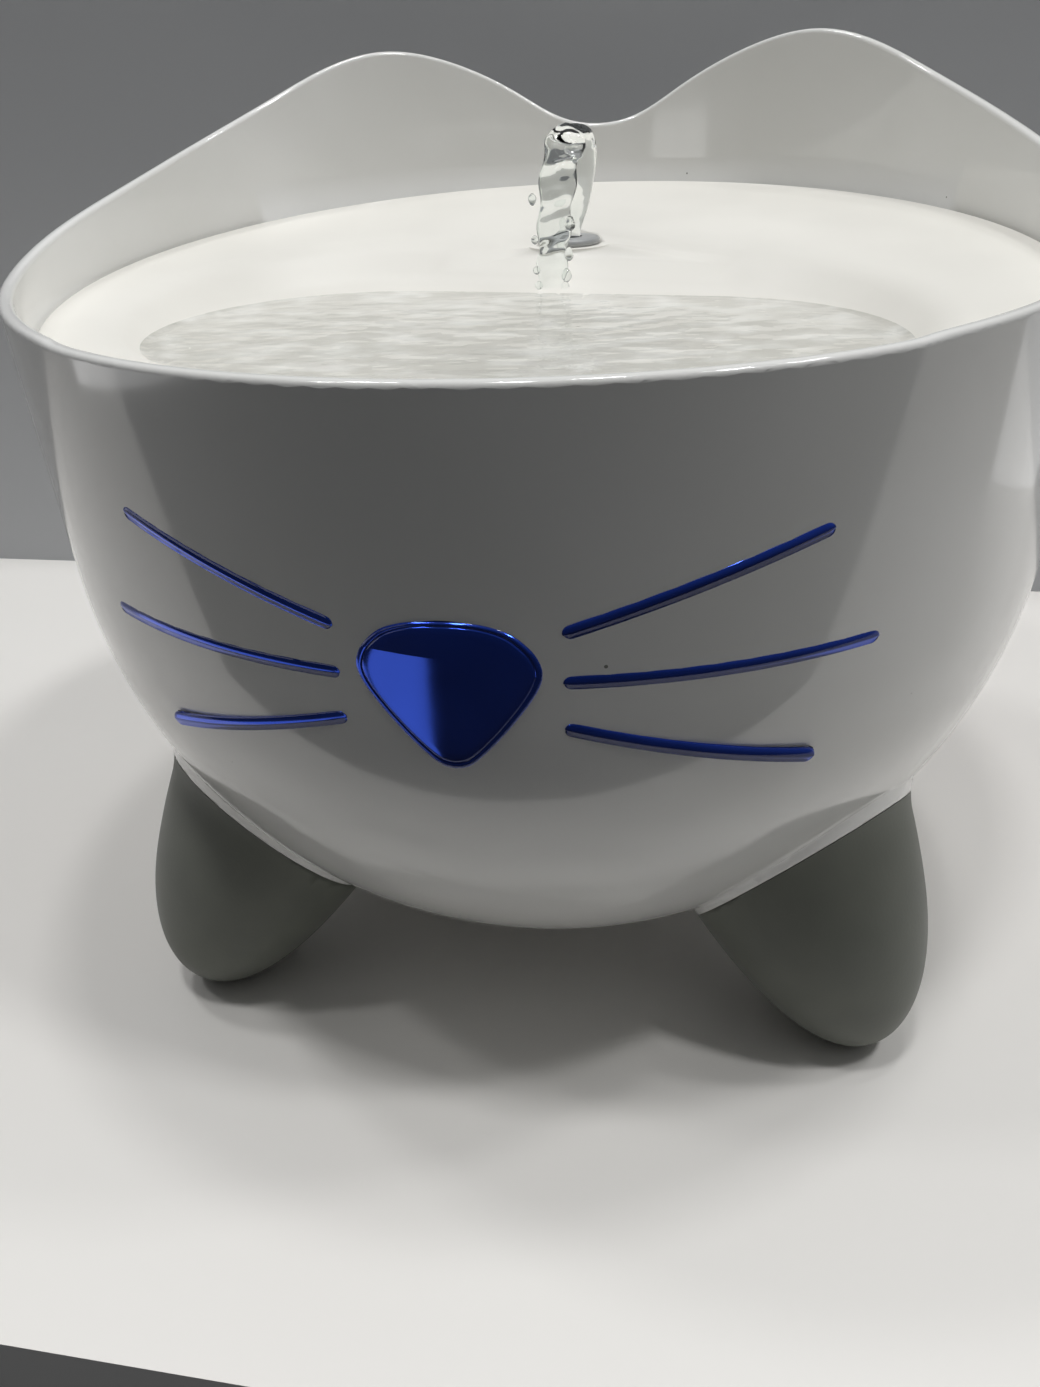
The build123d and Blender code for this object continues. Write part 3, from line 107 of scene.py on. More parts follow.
def tint(tree, shader, factor, low, high, span=(0.35, 0.65)):
    """Base colour that drifts between two hex colours."""
    ramp = add(tree, "ShaderNodeValToRGB", links={"Fac": factor})
    ramp.color_ramp.elements[0].position, ramp.color_ramp.elements[1].position = span
    ramp.color_ramp.elements[0].color = linear(low)
    ramp.color_ramp.elements[1].color = linear(high)
    tree.links.new(ramp.outputs["Color"], shader.inputs["Base Color"])


def vary_roughness(tree, shader, factor, low, high):
    """Roughness that drifts between two values."""
    span = add(
        tree, "ShaderNodeMapRange",
        {"From Min": 0.3, "From Max": 0.7, "To Min": low, "To Max": high}, {"Value": factor},
    )
    tree.links.new(span.outputs["Result"], shader.inputs["Roughness"])


def emboss(tree, shader, height, depth_mm, under=None):
    """Bump of a real depth, on top of another bump if there is one."""
    links = {"Height": height}
    if under:
        links["Normal"] = under.outputs["Normal"]
    bump = add(tree, "ShaderNodeBump", {"Strength": 1.0, "Distance": depth_mm * MM}, links)
    tree.links.new(bump.outputs["Normal"], shader.inputs["Normal"])
    return bump


def moulded(name, low, high, rough, grain_mm, depth_mm, patch_mm=40.0, **values):
    """Moulded plastic, rubber or paint: slow colour drift, skin texture, uneven gloss."""
    material, tree, shader = start_material(name, **values)
    patches = mottle(tree, patch_mm)
    tint(tree, shader, patches, low, high)
    vary_roughness(tree, shader, patches, *rough)
    emboss(tree, shader, mottle(tree, grain_mm, detail=3.0), depth_mm)
    return material


def bowl_normal(point, inwards):
    """Exact outward or inward normal of the bowl's wall at a point."""
    if point.z < TANGENT_HEIGHT * MM:
        out = (point - Vector((0, 0, BELLY_HEIGHT * MM))).normalized()
    else:
        radial = Vector((point.x, point.y, 0)).normalized()
        out = (radial - Vector((0, 0, WALL_LEAN))).normalized()
    return -out if inwards else out


def smooth_copy(name, material, angle=28.0):
    """Merged, smoothly shaded copy of a CAD piece that stands for it."""
    mesh = nodes[name].data.copy()
    piece = bpy.data.objects.new(name + "_skin", mesh)
    bpy.context.scene.collection.objects.link(piece)
    form = bmesh.new()
    form.from_mesh(mesh)
    bmesh.ops.remove_doubles(form, verts=form.verts, dist=MERGE_DISTANCE)
    form.to_mesh(mesh)
    form.free()
    mesh.materials.clear()
    mesh.materials.append(material)
    mesh.shade_smooth()
    mesh.set_sharp_from_angle(angle=math.radians(angle))
    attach(piece, body_of[name])
    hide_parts(name)
    return piece


def finish_all(material, *names, angle=28.0):
    """Give several CAD pieces the same finish."""
    for name in names:
        smooth_copy(name, material, angle)


def trim_normals(piece):
    """Make the bowl's reflections true: use the wall's exact normals where it is plain wall."""
    mesh = piece.data
    normals = [Vector(corner.vector) for corner in mesh.corner_normals]
    for face in mesh.polygons:
        middle = Vector(face.center)
        for inset in (0.0, BOWL_WALL):
            exact = bowl_normal(middle, inset > 0)
            if face.normal.dot(exact) < PLAIN_WALL:
                continue
            for corner in face.loop_indices:
                point = mesh.vertices[mesh.loops[corner].vertex_index].co
                own = bowl_normal(point, inset > 0)
                if normals[corner].dot(own) > SOFT_CORNER:
                    normals[corner] = own
    mesh.normals_split_custom_set([tuple(n) for n in normals])


# Gloss ABS: bright, even white with a deep wet shine, the faintest ripple of
# the mould's polish and a few specks of dust.
gloss_white_abs, tree, shader = start_material(
    "gloss_white_abs", IOR=1.53, Coat_Weight=0.35, Coat_Roughness=0.04,
)
patches = mottle(tree, 60.0)
tint(tree, shader, patches, "#E9E9E6", "#F0F0EE")
vary_roughness(tree, shader, patches, 0.08, 0.14)
emboss(tree, shader, mottle(tree, 9.0, detail=3.0), 0.012)
specks = add(
    tree, "ShaderNodeTexVoronoi", {"Scale": 1 / (SPECK_PITCH * MM)},
    {"Vector": add(tree, "ShaderNodeTexCoord").outputs["Object"]},
)
speck = add(
    tree, "ShaderNodeMath", {1: SPECK_RADIUS / SPECK_PITCH}, {0: specks.outputs["Distance"]},
    operation="LESS_THAN",
)
dusted = add(
    tree, "ShaderNodeMix", {"B": linear("#8A8A84")},
    {"Factor": speck.outputs["Value"], "A": shader.inputs["Base Color"].links[0].from_socket},
    data_type="RGBA",
)
tree.links.new(dusted.outputs["Result"], shader.inputs["Base Color"])
reservoir_skin = smooth_copy("reservoir", gloss_white_abs)
trim_normals(reservoir_skin)

# ---------------------------------------------------------------------- feet
# Four soft boots of warm grey silicone are pushed over pegs under the bowl.
# The rubber is matte, a little dusty, and flat where it stands.

grey_silicone = moulded(
    "grey_silicone", "#62655D", "#6E7168", (0.50, 0.64), 0.8, 0.03, patch_mm=22.0,
    IOR=1.42, Sheen_Weight=0.12, Sheen_Roughness=0.6,
)
FOOT_TUCK = 5.0         # the boots' soles lie this much nearer the middle than the CAD's
FOOT_TOP = 40.0         # height at which the boots meet the CAD's again
for name in ("foot_front_left", "foot_front_right", "foot_rear_left", "foot_rear_right"):
    boot = smooth_copy(name, grey_silicone, angle=35.0)
    for vertex in boot.data.vertices:
        share = max(0.0, 1 - vertex.co.z / (FOOT_TOP * MM))
        inwards = Vector((vertex.co.x, vertex.co.y, 0)).normalized()
        vertex.co -= inwards * FOOT_TUCK * MM * share ** 2

# -------------------------------------------------------------- face window
# Nose and whiskers are one clear moulding in deep blue polycarbonate. It is
# pressed against the wall from inside by a gasket, a frame and four screws.

NOSE_CENTRE = 115.5     # height
NOSE_CREASE = 119.2     # height of the fold between the nose's top and its cheeks
CREASE_RISE = 0.10      # of the fold towards the sides, mm per mm
CREASE_ROUND = 1.3      # half width of the soft ridge down the nose's middle
NOSE_RAISE = 0.45       # the nose's face stands this far proud of the wall
CHEEK_SLOPE = 0.14      # sideways slope of the facets on the back of the clear piece
LEAN_SLOPE = 0.37       # slope of the cheeks below the fold
LEAN_CURVE = 1.6        # more lean, with the square of the way down from the fold, per metre
TOP_SLOPE = 0.48        # slope of the facet above the fold
METRE = 1000.0          # mm
NOSE_STEPS = 72         # along half the outline
NOSE_OUTLINE = (        # half width and height, from the top round to the tip
    (0.0, 125.9), (5.6, 125.55), (10.1, 124.1), (13.1, 121.6), (14.7, 119.1), (15.2, 116.4),
    (14.1, 113.2), (11.4, 109.0), (7.9, 104.4), (4.4, 100.5), (2.2, 98.75), (0.0, 98.2),
)


def along(path, share):
    """Place on a list of points, smoothly between them."""
    at = share * (len(path) - 1)
    k = min(int(at), len(path) - 2)
    t = at - k
    points = [path[min(max(k + d, 0), len(path) - 1)] for d in (-1, 0, 1, 2)]
    return [
        0.5 * (2 * b + (c - a) * t + (2 * a - 5 * b + 4 * c - d) * t * t + (3 * b - a - 3 * c + d) * t ** 3)
        for a, b, c, d in zip(*points)
    ]


def shell_of(name, rows, material, body):
    """Smooth piece from rings of points, closed at both ends."""
    form = bmesh.new()
    rings = [[form.verts.new(point) for point in row] for row in rows]
    count = len(rings[0])
    for low, high in zip(rings, rings[1:]):
        for k in range(count):
            form.faces.new((low[k], low[(k + 1) % count], high[(k + 1) % count], high[k]))
    for ring in (rings[0], rings[-1]):
        hub = form.verts.new(sum((v.co for v in ring), Vector()) / count)
        for k in range(count):
            form.faces.new((ring[k], ring[(k + 1) % count], hub))
    bmesh.ops.recalc_face_normals(form, faces=form.faces)
    mesh = bpy.data.meshes.new(name)
    form.to_mesh(mesh)
    form.free()
    mesh.materials.append(material)
    mesh.shade_smooth()
    mesh.set_sharp_from_angle(angle=math.radians(50))
    piece = bpy.data.objects.new(name, mesh)
    bpy.context.scene.collection.objects.link(piece)
    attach(piece, body)
    return piece


# Deep blue polycarbonate: light comes back off the facets on the clear piece's
# back, saturated blue or near black. A blue metallic base under a clear coat
# stands for them, with a relief as high as real facets.
blue_polycarbonate, tree, shader = start_material(
    "blue_polycarbonate", Metallic=0.68, Coat_Weight=0.6, Coat_Roughness=0.03, Coat_IOR=1.58,
)
patches = mottle(tree, 14.0)
tint(tree, shader, patches, "#1A3EAA", "#2044B6")
vary_roughness(tree, shader, patches, 0.10, 0.15)
place = add(
    tree, "ShaderNodeSeparateXYZ", links={"Vector": add(tree, "ShaderNodeTexCoord").outputs["Object"]}
)
across = add(tree, "ShaderNodeMath", {1: 2.0}, {0: place.outputs["X"]}, operation="POWER")
across = add(
    tree, "ShaderNodeMath", {1: (CREASE_ROUND * MM) ** 2}, {0: across.outputs["Value"]}, operation="ADD",
)
across = add(tree, "ShaderNodeMath", links={0: across.outputs["Value"]}, operation="SQRT")
above = add(
    tree, "ShaderNodeMath", {1: NOSE_CREASE * MM}, {0: place.outputs["Z"]}, operation="SUBTRACT",
)
rise = add(
    tree, "ShaderNodeMath", {1: -CREASE_RISE},
    {0: across.outputs["Value"], 2: above.outputs["Value"]}, operation="MULTIPLY_ADD",
)
lean = add(
    tree, "ShaderNodeMath", {1: LEAN_CURVE, 2: -LEAN_SLOPE}, {0: rise.outputs["Value"]},
    operation="MULTIPLY_ADD",
)
cheek = add(
    tree, "ShaderNodeMath", links={0: rise.outputs["Value"], 1: lean.outputs["Value"]},
    operation="MULTIPLY",
)
crown = add(
    tree, "ShaderNodeMath", {1: -TOP_SLOPE}, {0: rise.outputs["Value"]}, operation="MULTIPLY",
)
facet = add(
    tree, "ShaderNodeMath", links={0: cheek.outputs["Value"], 1: crown.outputs["Value"]},
    operation="MINIMUM",
)
relief = add(
    tree, "ShaderNodeMath", {1: -CHEEK_SLOPE},
    {0: across.outputs["Value"], 2: facet.outputs["Value"]}, operation="MULTIPLY_ADD",
)
emboss(tree, shader, relief.outputs["Value"], METRE)
trim_normals(smooth_copy("face_window", blue_polycarbonate))


def on_wall(x, z, proud):
    """Point at a place in front view, a little proud of the bowl's wall (all in mm)."""
    radius = RIM_RADIUS - WALL_LEAN * (RIM_HEIGHT - z) + proud
    return Vector((x, -math.sqrt(radius * radius - x * x), z)) * MM


NOSE_PROFILE = (        # share of the way out, share of NOSE_RAISE; a groove runs near the edge
    (0.10, 1.0), (0.35, 0.97), (0.60, 0.90), (0.80, 0.80), (0.885, 0.72), (0.905, 0.62),
    (0.918, 0.30), (0.932, 0.55), (0.960, 0.50), (0.982, 0.22), (0.990, 0.0), (0.995, -1.2),
)
outline = [along(NOSE_OUTLINE, k / NOSE_STEPS) for k in range(NOSE_STEPS + 1)]
outline += [(-x, z) for x, z in outline[-2:0:-1]]
rows = []
for share, height in NOSE_PROFILE:
    rows.append([
        on_wall(x * share, NOSE_CENTRE + (z - NOSE_CENTRE) * share, height * NOSE_RAISE)
        for x, z in outline
    ])
shell_of("nose_facet", rows, blue_polycarbonate, "reservoir_body")

WHISKERS = (            # inner end's height, outer end's x and height, all in front view
    (124.0, 56.8, 136.1), (115.0, 66.5, 115.0), (106.1, 57.8, 94.4),
)
WHISKER_START = 19.5    # the inner ends' distance from the middle
WHISKER_HALF = 1.32     # half width, and radius of the round ends
WHISKER_TIP = 0.0025    # square of the smallest half width, at the very ends
WHISKER_STEPS = 60
WHISKER_LEVEL = -0.18   # the section's zero level; minus is under the wall's surface
WHISKER_SECTION = (     # share of the half width, height; a step runs along the lower third
    (-1.0, -0.30), (-1.0, 0.04), (-0.90, 0.10), (-0.44, 0.10), (-0.36, 0.20), (0.0, 0.24),
    (0.86, 0.24), (1.0, 0.12), (1.0, -0.30),
)
for side, name in ((-1, "left"), (1, "right")):
    for number, (inner_z, outer_x, outer_z) in enumerate(WHISKERS):
        start, end = Vector((WHISKER_START, inner_z)), Vector((outer_x, outer_z))
        length = (end - start).length
        way = (end - start) / length
        across = Vector((-way.y, way.x))
        rows = []
        for k in range(WHISKER_STEPS + 1):
            passed = 0.5 - 0.5 * math.cos(math.pi * k / WHISKER_STEPS)
            at = -WHISKER_HALF + (length + 2 * WHISKER_HALF) * passed
            beyond = max(-at, at - length, 0.0)
            half = math.sqrt(max(WHISKER_HALF ** 2 - beyond ** 2, WHISKER_TIP))
            row = []
            for share, height in WHISKER_SECTION:
                spot = start + way * at + across * half * share
                row.append(on_wall(side * spot.x, spot.y, WHISKER_LEVEL + height))
            rows.append(row)
        shell_of(f"whisker_{name}_{number}", rows, blue_polycarbonate, "reservoir_body")

# Silicone: soft, milky white with a greasy, dull shine. The riser's seal shares
# it, and the pump's cover screws share the steel.
white_silicone = moulded(
    "white_silicone", "#D9D9D4", "#E3E3DE", (0.42, 0.55), 1.0, 0.02, IOR=1.42, Subsurface_Weight=0.1,
    Subsurface_Scale=0.002,
)
# Plain ABS from an unpolished mould: even and dull, with a fine spark texture.
matte_white_abs = moulded(
    "matte_white_abs", "#DEDEDB", "#E6E6E3", (0.38, 0.48), 0.6, 0.02, IOR=1.53,
)
# Stainless steel: bright metal with fine streaks and a little haze.
stainless_steel, tree, shader = start_material("stainless_steel", Metallic=1.0)
tint(tree, shader, mottle(tree, 1.5, stretch=(1, 1, 6)), "#A9ABAD", "#C2C3C4")
vary_roughness(tree, shader, mottle(tree, 0.4), 0.18, 0.34)
emboss(tree, shader, mottle(tree, 0.3), 0.01)
finish_all(white_silicone, "window_gasket", "riser_seal")
smooth_copy("window_clamp", matte_white_abs)
finish_all(stainless_steel, "window_screws", "cover_screws", angle=30.0)

# ------------------------------------------------------------ cable grommet
# A plug of dark grey rubber is snapped into the hole in the back wall, and
# the pump's lead would run through it. The pump's soft pieces share its rubber.

dark_rubber = moulded(
    "dark_rubber", "#3C3D3F", "#4A4B4D", (0.55, 0.70), 0.7, 0.03, patch_mm=8.0, IOR=1.50,
    Sheen_Weight=0.1, Sheen_Roughness=0.5,
)
finish_all(dark_rubber, "cable_grommet", "pump_gland", "shaft_bushes", "suction_cups")

# ------------------------------------------------------------- drinking dish
# The dish is moulded in satin white ABS. It lies on the bowl's ledge, rises a
# little to the back, and has a soft fan from the spout down to an oval pool.

# Satin ABS: warm white, a broad soft shine, an etched skin too fine to see.
satin_white_abs = moulded(
    "satin_white_abs", "#ECEAE3", "#F2F0E9", (0.40, 0.48), 0.8, 0.010, patch_mm=50.0, IOR=1.53,
)
smooth_copy("drinking_dish", satin_white_abs, angle=22.0)
# Light grey ABS, a cooler tone, for the outlet and the pump's flow knob.
grey_abs = moulded("grey_abs", "#989A9B", "#A6A8A9", (0.30, 0.40), 0.5, 0.015, patch_mm=9.0, IOR=1.53)
smooth_copy("spout_nozzle", grey_abs)
smooth_copy("flow_valve", grey_abs)

# ----------------------------------------------------------- filter cartridge
# A slotted cup and lid of white ABS hold three beds: a fibre pad on top,
# black carbon granules under it, and amber softening resin at the bottom.


def granules(name, low, high, size_mm, depth_mm, rough, **values):
    """Loose grains: cells of a real size, each with its own shade and a round top."""
    material, tree, shader = start_material(name, **values)
    cells = add(
        tree, "ShaderNodeTexVoronoi", {"Scale": 1 / (size_mm * MM)},
        {"Vector": add(tree, "ShaderNodeTexCoord").outputs["Object"]},
    )
    shade = add(tree, "ShaderNodeSeparateColor", links={"Color": cells.outputs["Color"]})
    tint(tree, shader, shade.outputs["Red"], low, high, span=(0.1, 0.9))
    vary_roughness(tree, shader, shade.outputs["Green"], *rough)
    round_top = add(
        tree, "ShaderNodeMath", {1: -1.0}, {0: cells.outputs["Distance"]}, operation="MULTIPLY",
    )
    emboss(tree, shader, round_top.outputs["Value"], depth_mm)
    return material


# Polyester fibre: matted white threads with a soft, cloudy surface.
fibre_pad, tree, shader = start_material("fibre_pad", Sheen_Weight=0.3, Sheen_Roughness=0.5)
threads = mottle(tree, 0.7, detail=5.0, roughness=0.7, stretch=(1.0, 0.35, 1.0))
tint(tree, shader, threads, "#D6D5CF", "#F0EFEA")
vary_roughness(tree, shader, threads, 0.80, 0.95)
emboss(tree, shader, threads, 0.35)
smooth_copy("filter_pad", fibre_pad)
# Activated carbon: black grains of about 1.5 mm with a dull glint.
smooth_copy("carbon_bed", granules("activated_carbon", "#0B0B0C", "#2A2A2C", 1.5, 0.7, (0.45, 0.8)))
# Ion exchange resin: round amber beads of about 1 mm, glossy.
smooth_copy("resin_bed", granules("resin_beads", "#9C6A1C", "#D9A84A", 1.0, 0.5, (0.12, 0.3), IOR=1.5))
finish_all(matte_white_abs, "filter_case", "filter_lid")

# ----------------------------------------------------------------------- pump
# A small sealed pump stands on suction cups. Its black ABS casing holds coils
# and a board cast in behind a cover, and the wet rotor well in front.

# Black ABS: very dark, satin, with a slow drift of shade and a fine spark texture.
black_abs = moulded("black_abs", "#151618", "#232427", (0.34, 0.46), 0.5, 0.025, patch_mm=12.0, IOR=1.53)
finish_all(black_abs, "pump_housing", "back_cover", "impeller_cover", "intake_cover")

WAVE_PERIOD = 0.314     # of the wave texture, in its own units at a scale of 1


def layered(name, low, high, pitch_mm, axis, depth_mm, rough, **values):
    """Sheets or turns that lie on each other with a real pitch along an axis."""
    material, tree, shader = start_material(name, **values)
    bands = add(
        tree, "ShaderNodeTexWave",
        {"Scale": WAVE_PERIOD / (pitch_mm * MM), "Distortion": 0.4, "Detail": 1.0},
        {"Vector": add(tree, "ShaderNodeTexCoord").outputs["Object"]}, bands_direction=axis,
    )
    tint(tree, shader, bands.outputs["Fac"], low, high, span=(0.2, 0.8))
    vary_roughness(tree, shader, mottle(tree, 2.0), *rough)
    emboss(tree, shader, bands.outputs["Fac"], depth_mm)
    return material


# Silicon steel sheets 0.5 mm thick, drawn 1 mm so that they show.
steel_sheets = layered(
    "steel_sheets", "#3A3C40", "#6E7075", 1.0, "X", 0.05, (0.3, 0.5), Metallic=1.0,
)
smooth_copy("stator_core", steel_sheets)
# Enamelled copper wire 0.3 mm thick, drawn 0.8 mm so that the turns show.
enamelled_copper = layered(
    "enamelled_copper", "#8A3E18", "#C8743A", 0.8, "Z", 0.10, (0.15, 0.3), Metallic=1.0,
)
smooth_copy("stator_coils", enamelled_copper)
# Circuit board: green solder mask with paler tracks under it.
solder_mask, tree, shader = start_material("solder_mask", IOR=1.5, Coat_Weight=0.3, Coat_Roughness=0.1)
tracks = add(
    tree, "ShaderNodeTexBrick",
    {"Scale": 1 / (5 * MM), "Mortar Size": 0.03, "Color1": linear("#0E4A26"), "Color2": linear("#125A2E"),
     "Mortar": linear("#2E8A50")},
    {"Vector": add(tree, "ShaderNodeTexCoord").outputs["Object"]},
)
tree.links.new(tracks.outputs["Color"], shader.inputs["Base Color"])
vary_roughness(tree, shader, mottle(tree, 3.0), 0.2, 0.35)
emboss(tree, shader, tracks.outputs["Fac"], 0.03)
smooth_copy("drive_board", solder_mask)
# Clear acrylic lens, lightly frosted by water scale.
clear_acrylic, tree, shader = start_material("clear_acrylic", IOR=1.49, Transmission_Weight=0.9)
scale_marks = mottle(tree, 1.2, detail=4.0)
tint(tree, shader, scale_marks, "#DCE6F4", "#F2F6FC")
vary_roughness(tree, shader, scale_marks, 0.05, 0.30)
smooth_copy("light_lens", clear_acrylic)
# Polished alumina shaft: hard ivory white, almost a mirror.
polished_ceramic = moulded(
    "polished_ceramic", "#E8E4D8", "#F2EEE4", (0.06, 0.14), 0.3, 0.004, patch_mm=4.0, IOR=1.77,
)
smooth_copy("rotor_shaft", polished_ceramic)
# Ferrite magnet: charcoal grey, pressed powder with a fine dull grain.
pressed_ferrite = moulded(
    "pressed_ferrite", "#25262A", "#36373B", (0.45, 0.6), 0.4, 0.03, patch_mm=5.0, Metallic=0.5,
)
smooth_copy("rotor_magnet", pressed_ferrite)
# Impeller and riser are milky acetal, smooth and a little waxy.
milky_acetal = moulded(
    "milky_acetal", "#D4D7D9", "#E2E4E6", (0.28, 0.38), 0.6, 0.012, patch_mm=12.0, IOR=1.48,
    Subsurface_Weight=0.15, Subsurface_Scale=0.003,
)
finish_all(milky_acetal, "impeller", "riser_tube")
# Open-cell foam: black, made of cells of about 1.2 mm.
smooth_copy("foam_filter", granules("open_cell_foam", "#101012", "#2C2C2F", 1.2, 0.6, (0.85, 0.98)))

# ----------------------------------------------------------------------- water
# Water stands in the dish's pool and springs from the spout in a low arc that
# breaks into two beaded strands where it lands.

WATER_LEVEL = 151.0
POOL_CENTRE = (-5.0, -27.0)
IMPACT = (-1.5, 17.0)   # x and y of the place where the jet lands
RING_PITCH = 7.0        # of the fine rings round it
POOL_FLOOR = 149.05     # of the uncut floor at y = 0
DISH_SLOPE = 0.082      # rise of the dish to the back, mm per mm
DISH_REACH = 98.0       # the pool stays inside this radius
SHORE = 0.1             # depth at which the pool ends
FILM = 0.02             # depth that is left at its very edge
UNDERSIDE = 0.12        # the underside lies at least this far under the water level
HAIR = 0.01             # and this far over the dish
RIPPLE_FADE = 9.0       # the ripples fade over the outer ninth of the way
THINNING = 30.0         # the water thins out over the outer thirtieth
RING_RISE = 0.09        # of the rings at the jet's foot
SWELL_RISE = 0.06
POOL_POINTS = 160       # round the pool
POOL_RINGS = 44         # from its middle to its edge
LUMPS_FROM = 0.34       # shares of the jet's length
SPLIT_FROM = 0.52
JET_STEPS = 110
JET_POINTS = 28
JET_PATH = (            # x, y, z, half width, half thickness of the arc
    (0.0, 40.0, 158.0, 2.6, 2.6), (0.6, 40.0, 163.0, 2.7, 2.7), (2.6, 39.4, 169.0, 2.8, 2.8),
    (4.0, 37.6, 175.5, 3.0, 2.8), (4.4, 34.6, 180.5, 3.5, 2.8), (3.4, 30.8, 183.6, 4.2, 2.7),
    (2.0, 26.8, 184.0, 4.7, 2.5), (0.9, 23.6, 181.0, 4.6, 2.2), (0.2, 21.0, 176.0, 4.3, 2.0),
    (-0.3, 19.3, 170.5, 4.1, 1.8), (-0.7, 18.2, 165.0, 3.9, 1.5), (-1.0, 17.5, 160.0, 3.7, 1.3),
    (-1.3, 17.1, 155.5, 3.5, 1.1), (-1.5, 17.0, 150.6, 3.3, 1.0),
)


def water(name, swell_mm, clearness):
    """Water that lets shadow and diffuse rays straight through, and a share of all others."""
    material, tree, shader = start_material(name, IOR=1.333, Transmission_Weight=1.0, Roughness=0.0)
    tint(tree, shader, mottle(tree, 12.0), "#F4F8F6", "#FCFEFD")
    place = add(
        tree, "ShaderNodeMapping", {"Location": (-IMPACT[0] * MM, -IMPACT[1] * MM, -WATER_LEVEL * MM)},
        {"Vector": add(tree, "ShaderNodeTexCoord").outputs["Object"]},
    )
    rings = add(
        tree, "ShaderNodeTexWave",
        {"Scale": WAVE_PERIOD / (RING_PITCH * MM), "Distortion": 3.5, "Detail": 2.0, "Detail Scale": 1.6},
        {"Vector": place.outputs["Vector"]}, wave_type="RINGS", rings_direction="SPHERICAL",
    )
    broad = emboss(tree, shader, mottle(tree, 8.0, detail=2.0, stretch=(0.7, 1, 1)), swell_mm)
    emboss(tree, shader, rings.outputs["Fac"], 0.06, under=broad)
    path = add(tree, "ShaderNodeLightPath").outputs
    unbent = add(
        tree, "ShaderNodeMath", links={0: path["Is Shadow Ray"], 1: path["Is Diffuse Ray"]},
        operation="MAXIMUM",
    )
    unbent = add(tree, "ShaderNodeMath", {1: clearness}, {0: unbent.outputs["Value"]}, operation="MAXIMUM")
    clear = add(tree, "ShaderNodeBsdfTransparent")
    lit_through = add(
        tree, "ShaderNodeMixShader",
        links={0: unbent.outputs["Value"], 1: shader.outputs["BSDF"], 2: clear.outputs["BSDF"]},
    )
    tree.links.new(lit_through.outputs["Shader"], tree.nodes["Material Output"].inputs["Surface"])
    return material


# Water: colourless and mirror smooth, drawn by what it bends and reflects. The
# pool's lets a quarter of all rays straight through.
clear_water = water("clear_water", 0.5, 0.0)
pool_water = water("pool_water", 0.9, 0.25)

dish_mesh = nodes["drinking_dish"].data
dish = BVHTree.FromPolygons(
    [v.co for v in dish_mesh.vertices], [tuple(p.vertices) for p in dish_mesh.polygons],
)


def last_inside(test, low, high):
    """Largest value, found by halving, for which a test still holds."""
    for _ in range(26):
        middle = (low + high) / 2
        if test(middle):
            low = middle
        else:
            high = middle
    return low


def dish_floor(x, y):
    """Height of the dish under a place as if no slot were cut; far up outside the dish (metres)."""
    if math.hypot(x, y) > DISH_REACH * MM:
        return 1.0
    found = dish.ray_cast(Vector((x, y, 0.3)), Vector((0, 0, -1)))[0]
    plain = (POOL_FLOOR + DISH_SLOPE * y / MM) * MM
    return max(found.z if found else 0.0, plain)


def ripple(x, y):
    """Rise of the water's surface: rings round the jet's foot that cross slow swells (metres)."""
    away = math.hypot(x / MM - IMPACT[0], y / MM - IMPACT[1])
    swell = math.sin(x / MM * 0.31 + 1.0) * math.sin(y / MM * 0.37 + 0.4)
    return (RING_RISE * math.cos(away * 0.70) / (1 + away / 30) + SWELL_RISE * swell) * MM


pool_edge = []
for k in range(POOL_POINTS):
    angle = math.tau * k / POOL_POINTS
    way = Vector((math.cos(angle), math.sin(angle)))
    reach = last_inside(
        lambda r: dish_floor(POOL_CENTRE[0] * MM + way.x * r, POOL_CENTRE[1] * MM + way.y * r)
        < (WATER_LEVEL - SHORE) * MM, 0.005, 0.105,
    )
    pool_edge.append((way, reach))
# Surface, from the middle out; the ripples fade near the shore, where the water
# thins out to the dish.
rows = []
for k in range(1, POOL_RINGS + 1):
    share = k / POOL_RINGS
    fade = min(1.0, (1 - share) * RIPPLE_FADE)
    row = []
    for way, reach in pool_edge:
        x, y = (centre * MM + part * reach * share for centre, part in zip(POOL_CENTRE, way))
        level = WATER_LEVEL * MM + fade * ripple(x, y)
        thin = max(0.0, 1 - (1 - share) * THINNING)
        row.append(Vector((x, y, level + thin * (dish_floor(x, y) + FILM * MM - level))))
    rows.append(row)
# Underside, back to the middle, a hair above the dish.
for k in range(POOL_RINGS, 0, -2):
    share = k / POOL_RINGS * 0.9995
    row = []
    for way, reach in pool_edge:
        x, y = (centre * MM + part * reach * share for centre, part in zip(POOL_CENTRE, way))
        row.append(Vector((x, y, min(dish_floor(x, y), (WATER_LEVEL - UNDERSIDE) * MM) + HAIR * MM)))
    rows.append(row)
pool = shell_of("pool_water", rows, pool_water, "dish_body")
# Fine bubbles over the dish's floor: a milky veil in the dish's own white, with
# painted caustics on it: bright flecks of painted light that stand for the light
# ripples throw on the floor. It nearly hides the drain slots.
veil_with_painted_caustics, tree, shader = start_material("veil_with_painted_caustics", IOR=1.34)
# Painted caustics: bright flecks of painted light mottle the veil's colour and its roughness.
painted_caustics = mottle(tree, 7.0, detail=2.5, stretch=(0.6, 1.0, 1.0))
tint(tree, shader, painted_caustics, "#DBD9D2", "#FAF9F5", span=(0.47, 0.66))
vary_roughness(tree, shader, painted_caustics, 0.40, 0.48)
veil = add(
    tree, "ShaderNodeMixShader", {0: 0.25},
    {1: shader.outputs["BSDF"], 2: add(tree, "ShaderNodeBsdfTransparent").outputs["BSDF"]},
)
tree.links.new(veil.outputs["Shader"], tree.nodes["Material Output"].inputs["Surface"])
pool.data.materials.append(veil_with_painted_caustics)
for face in pool.data.polygons:
    if face.normal.z < 0:
        face.material_index = 1

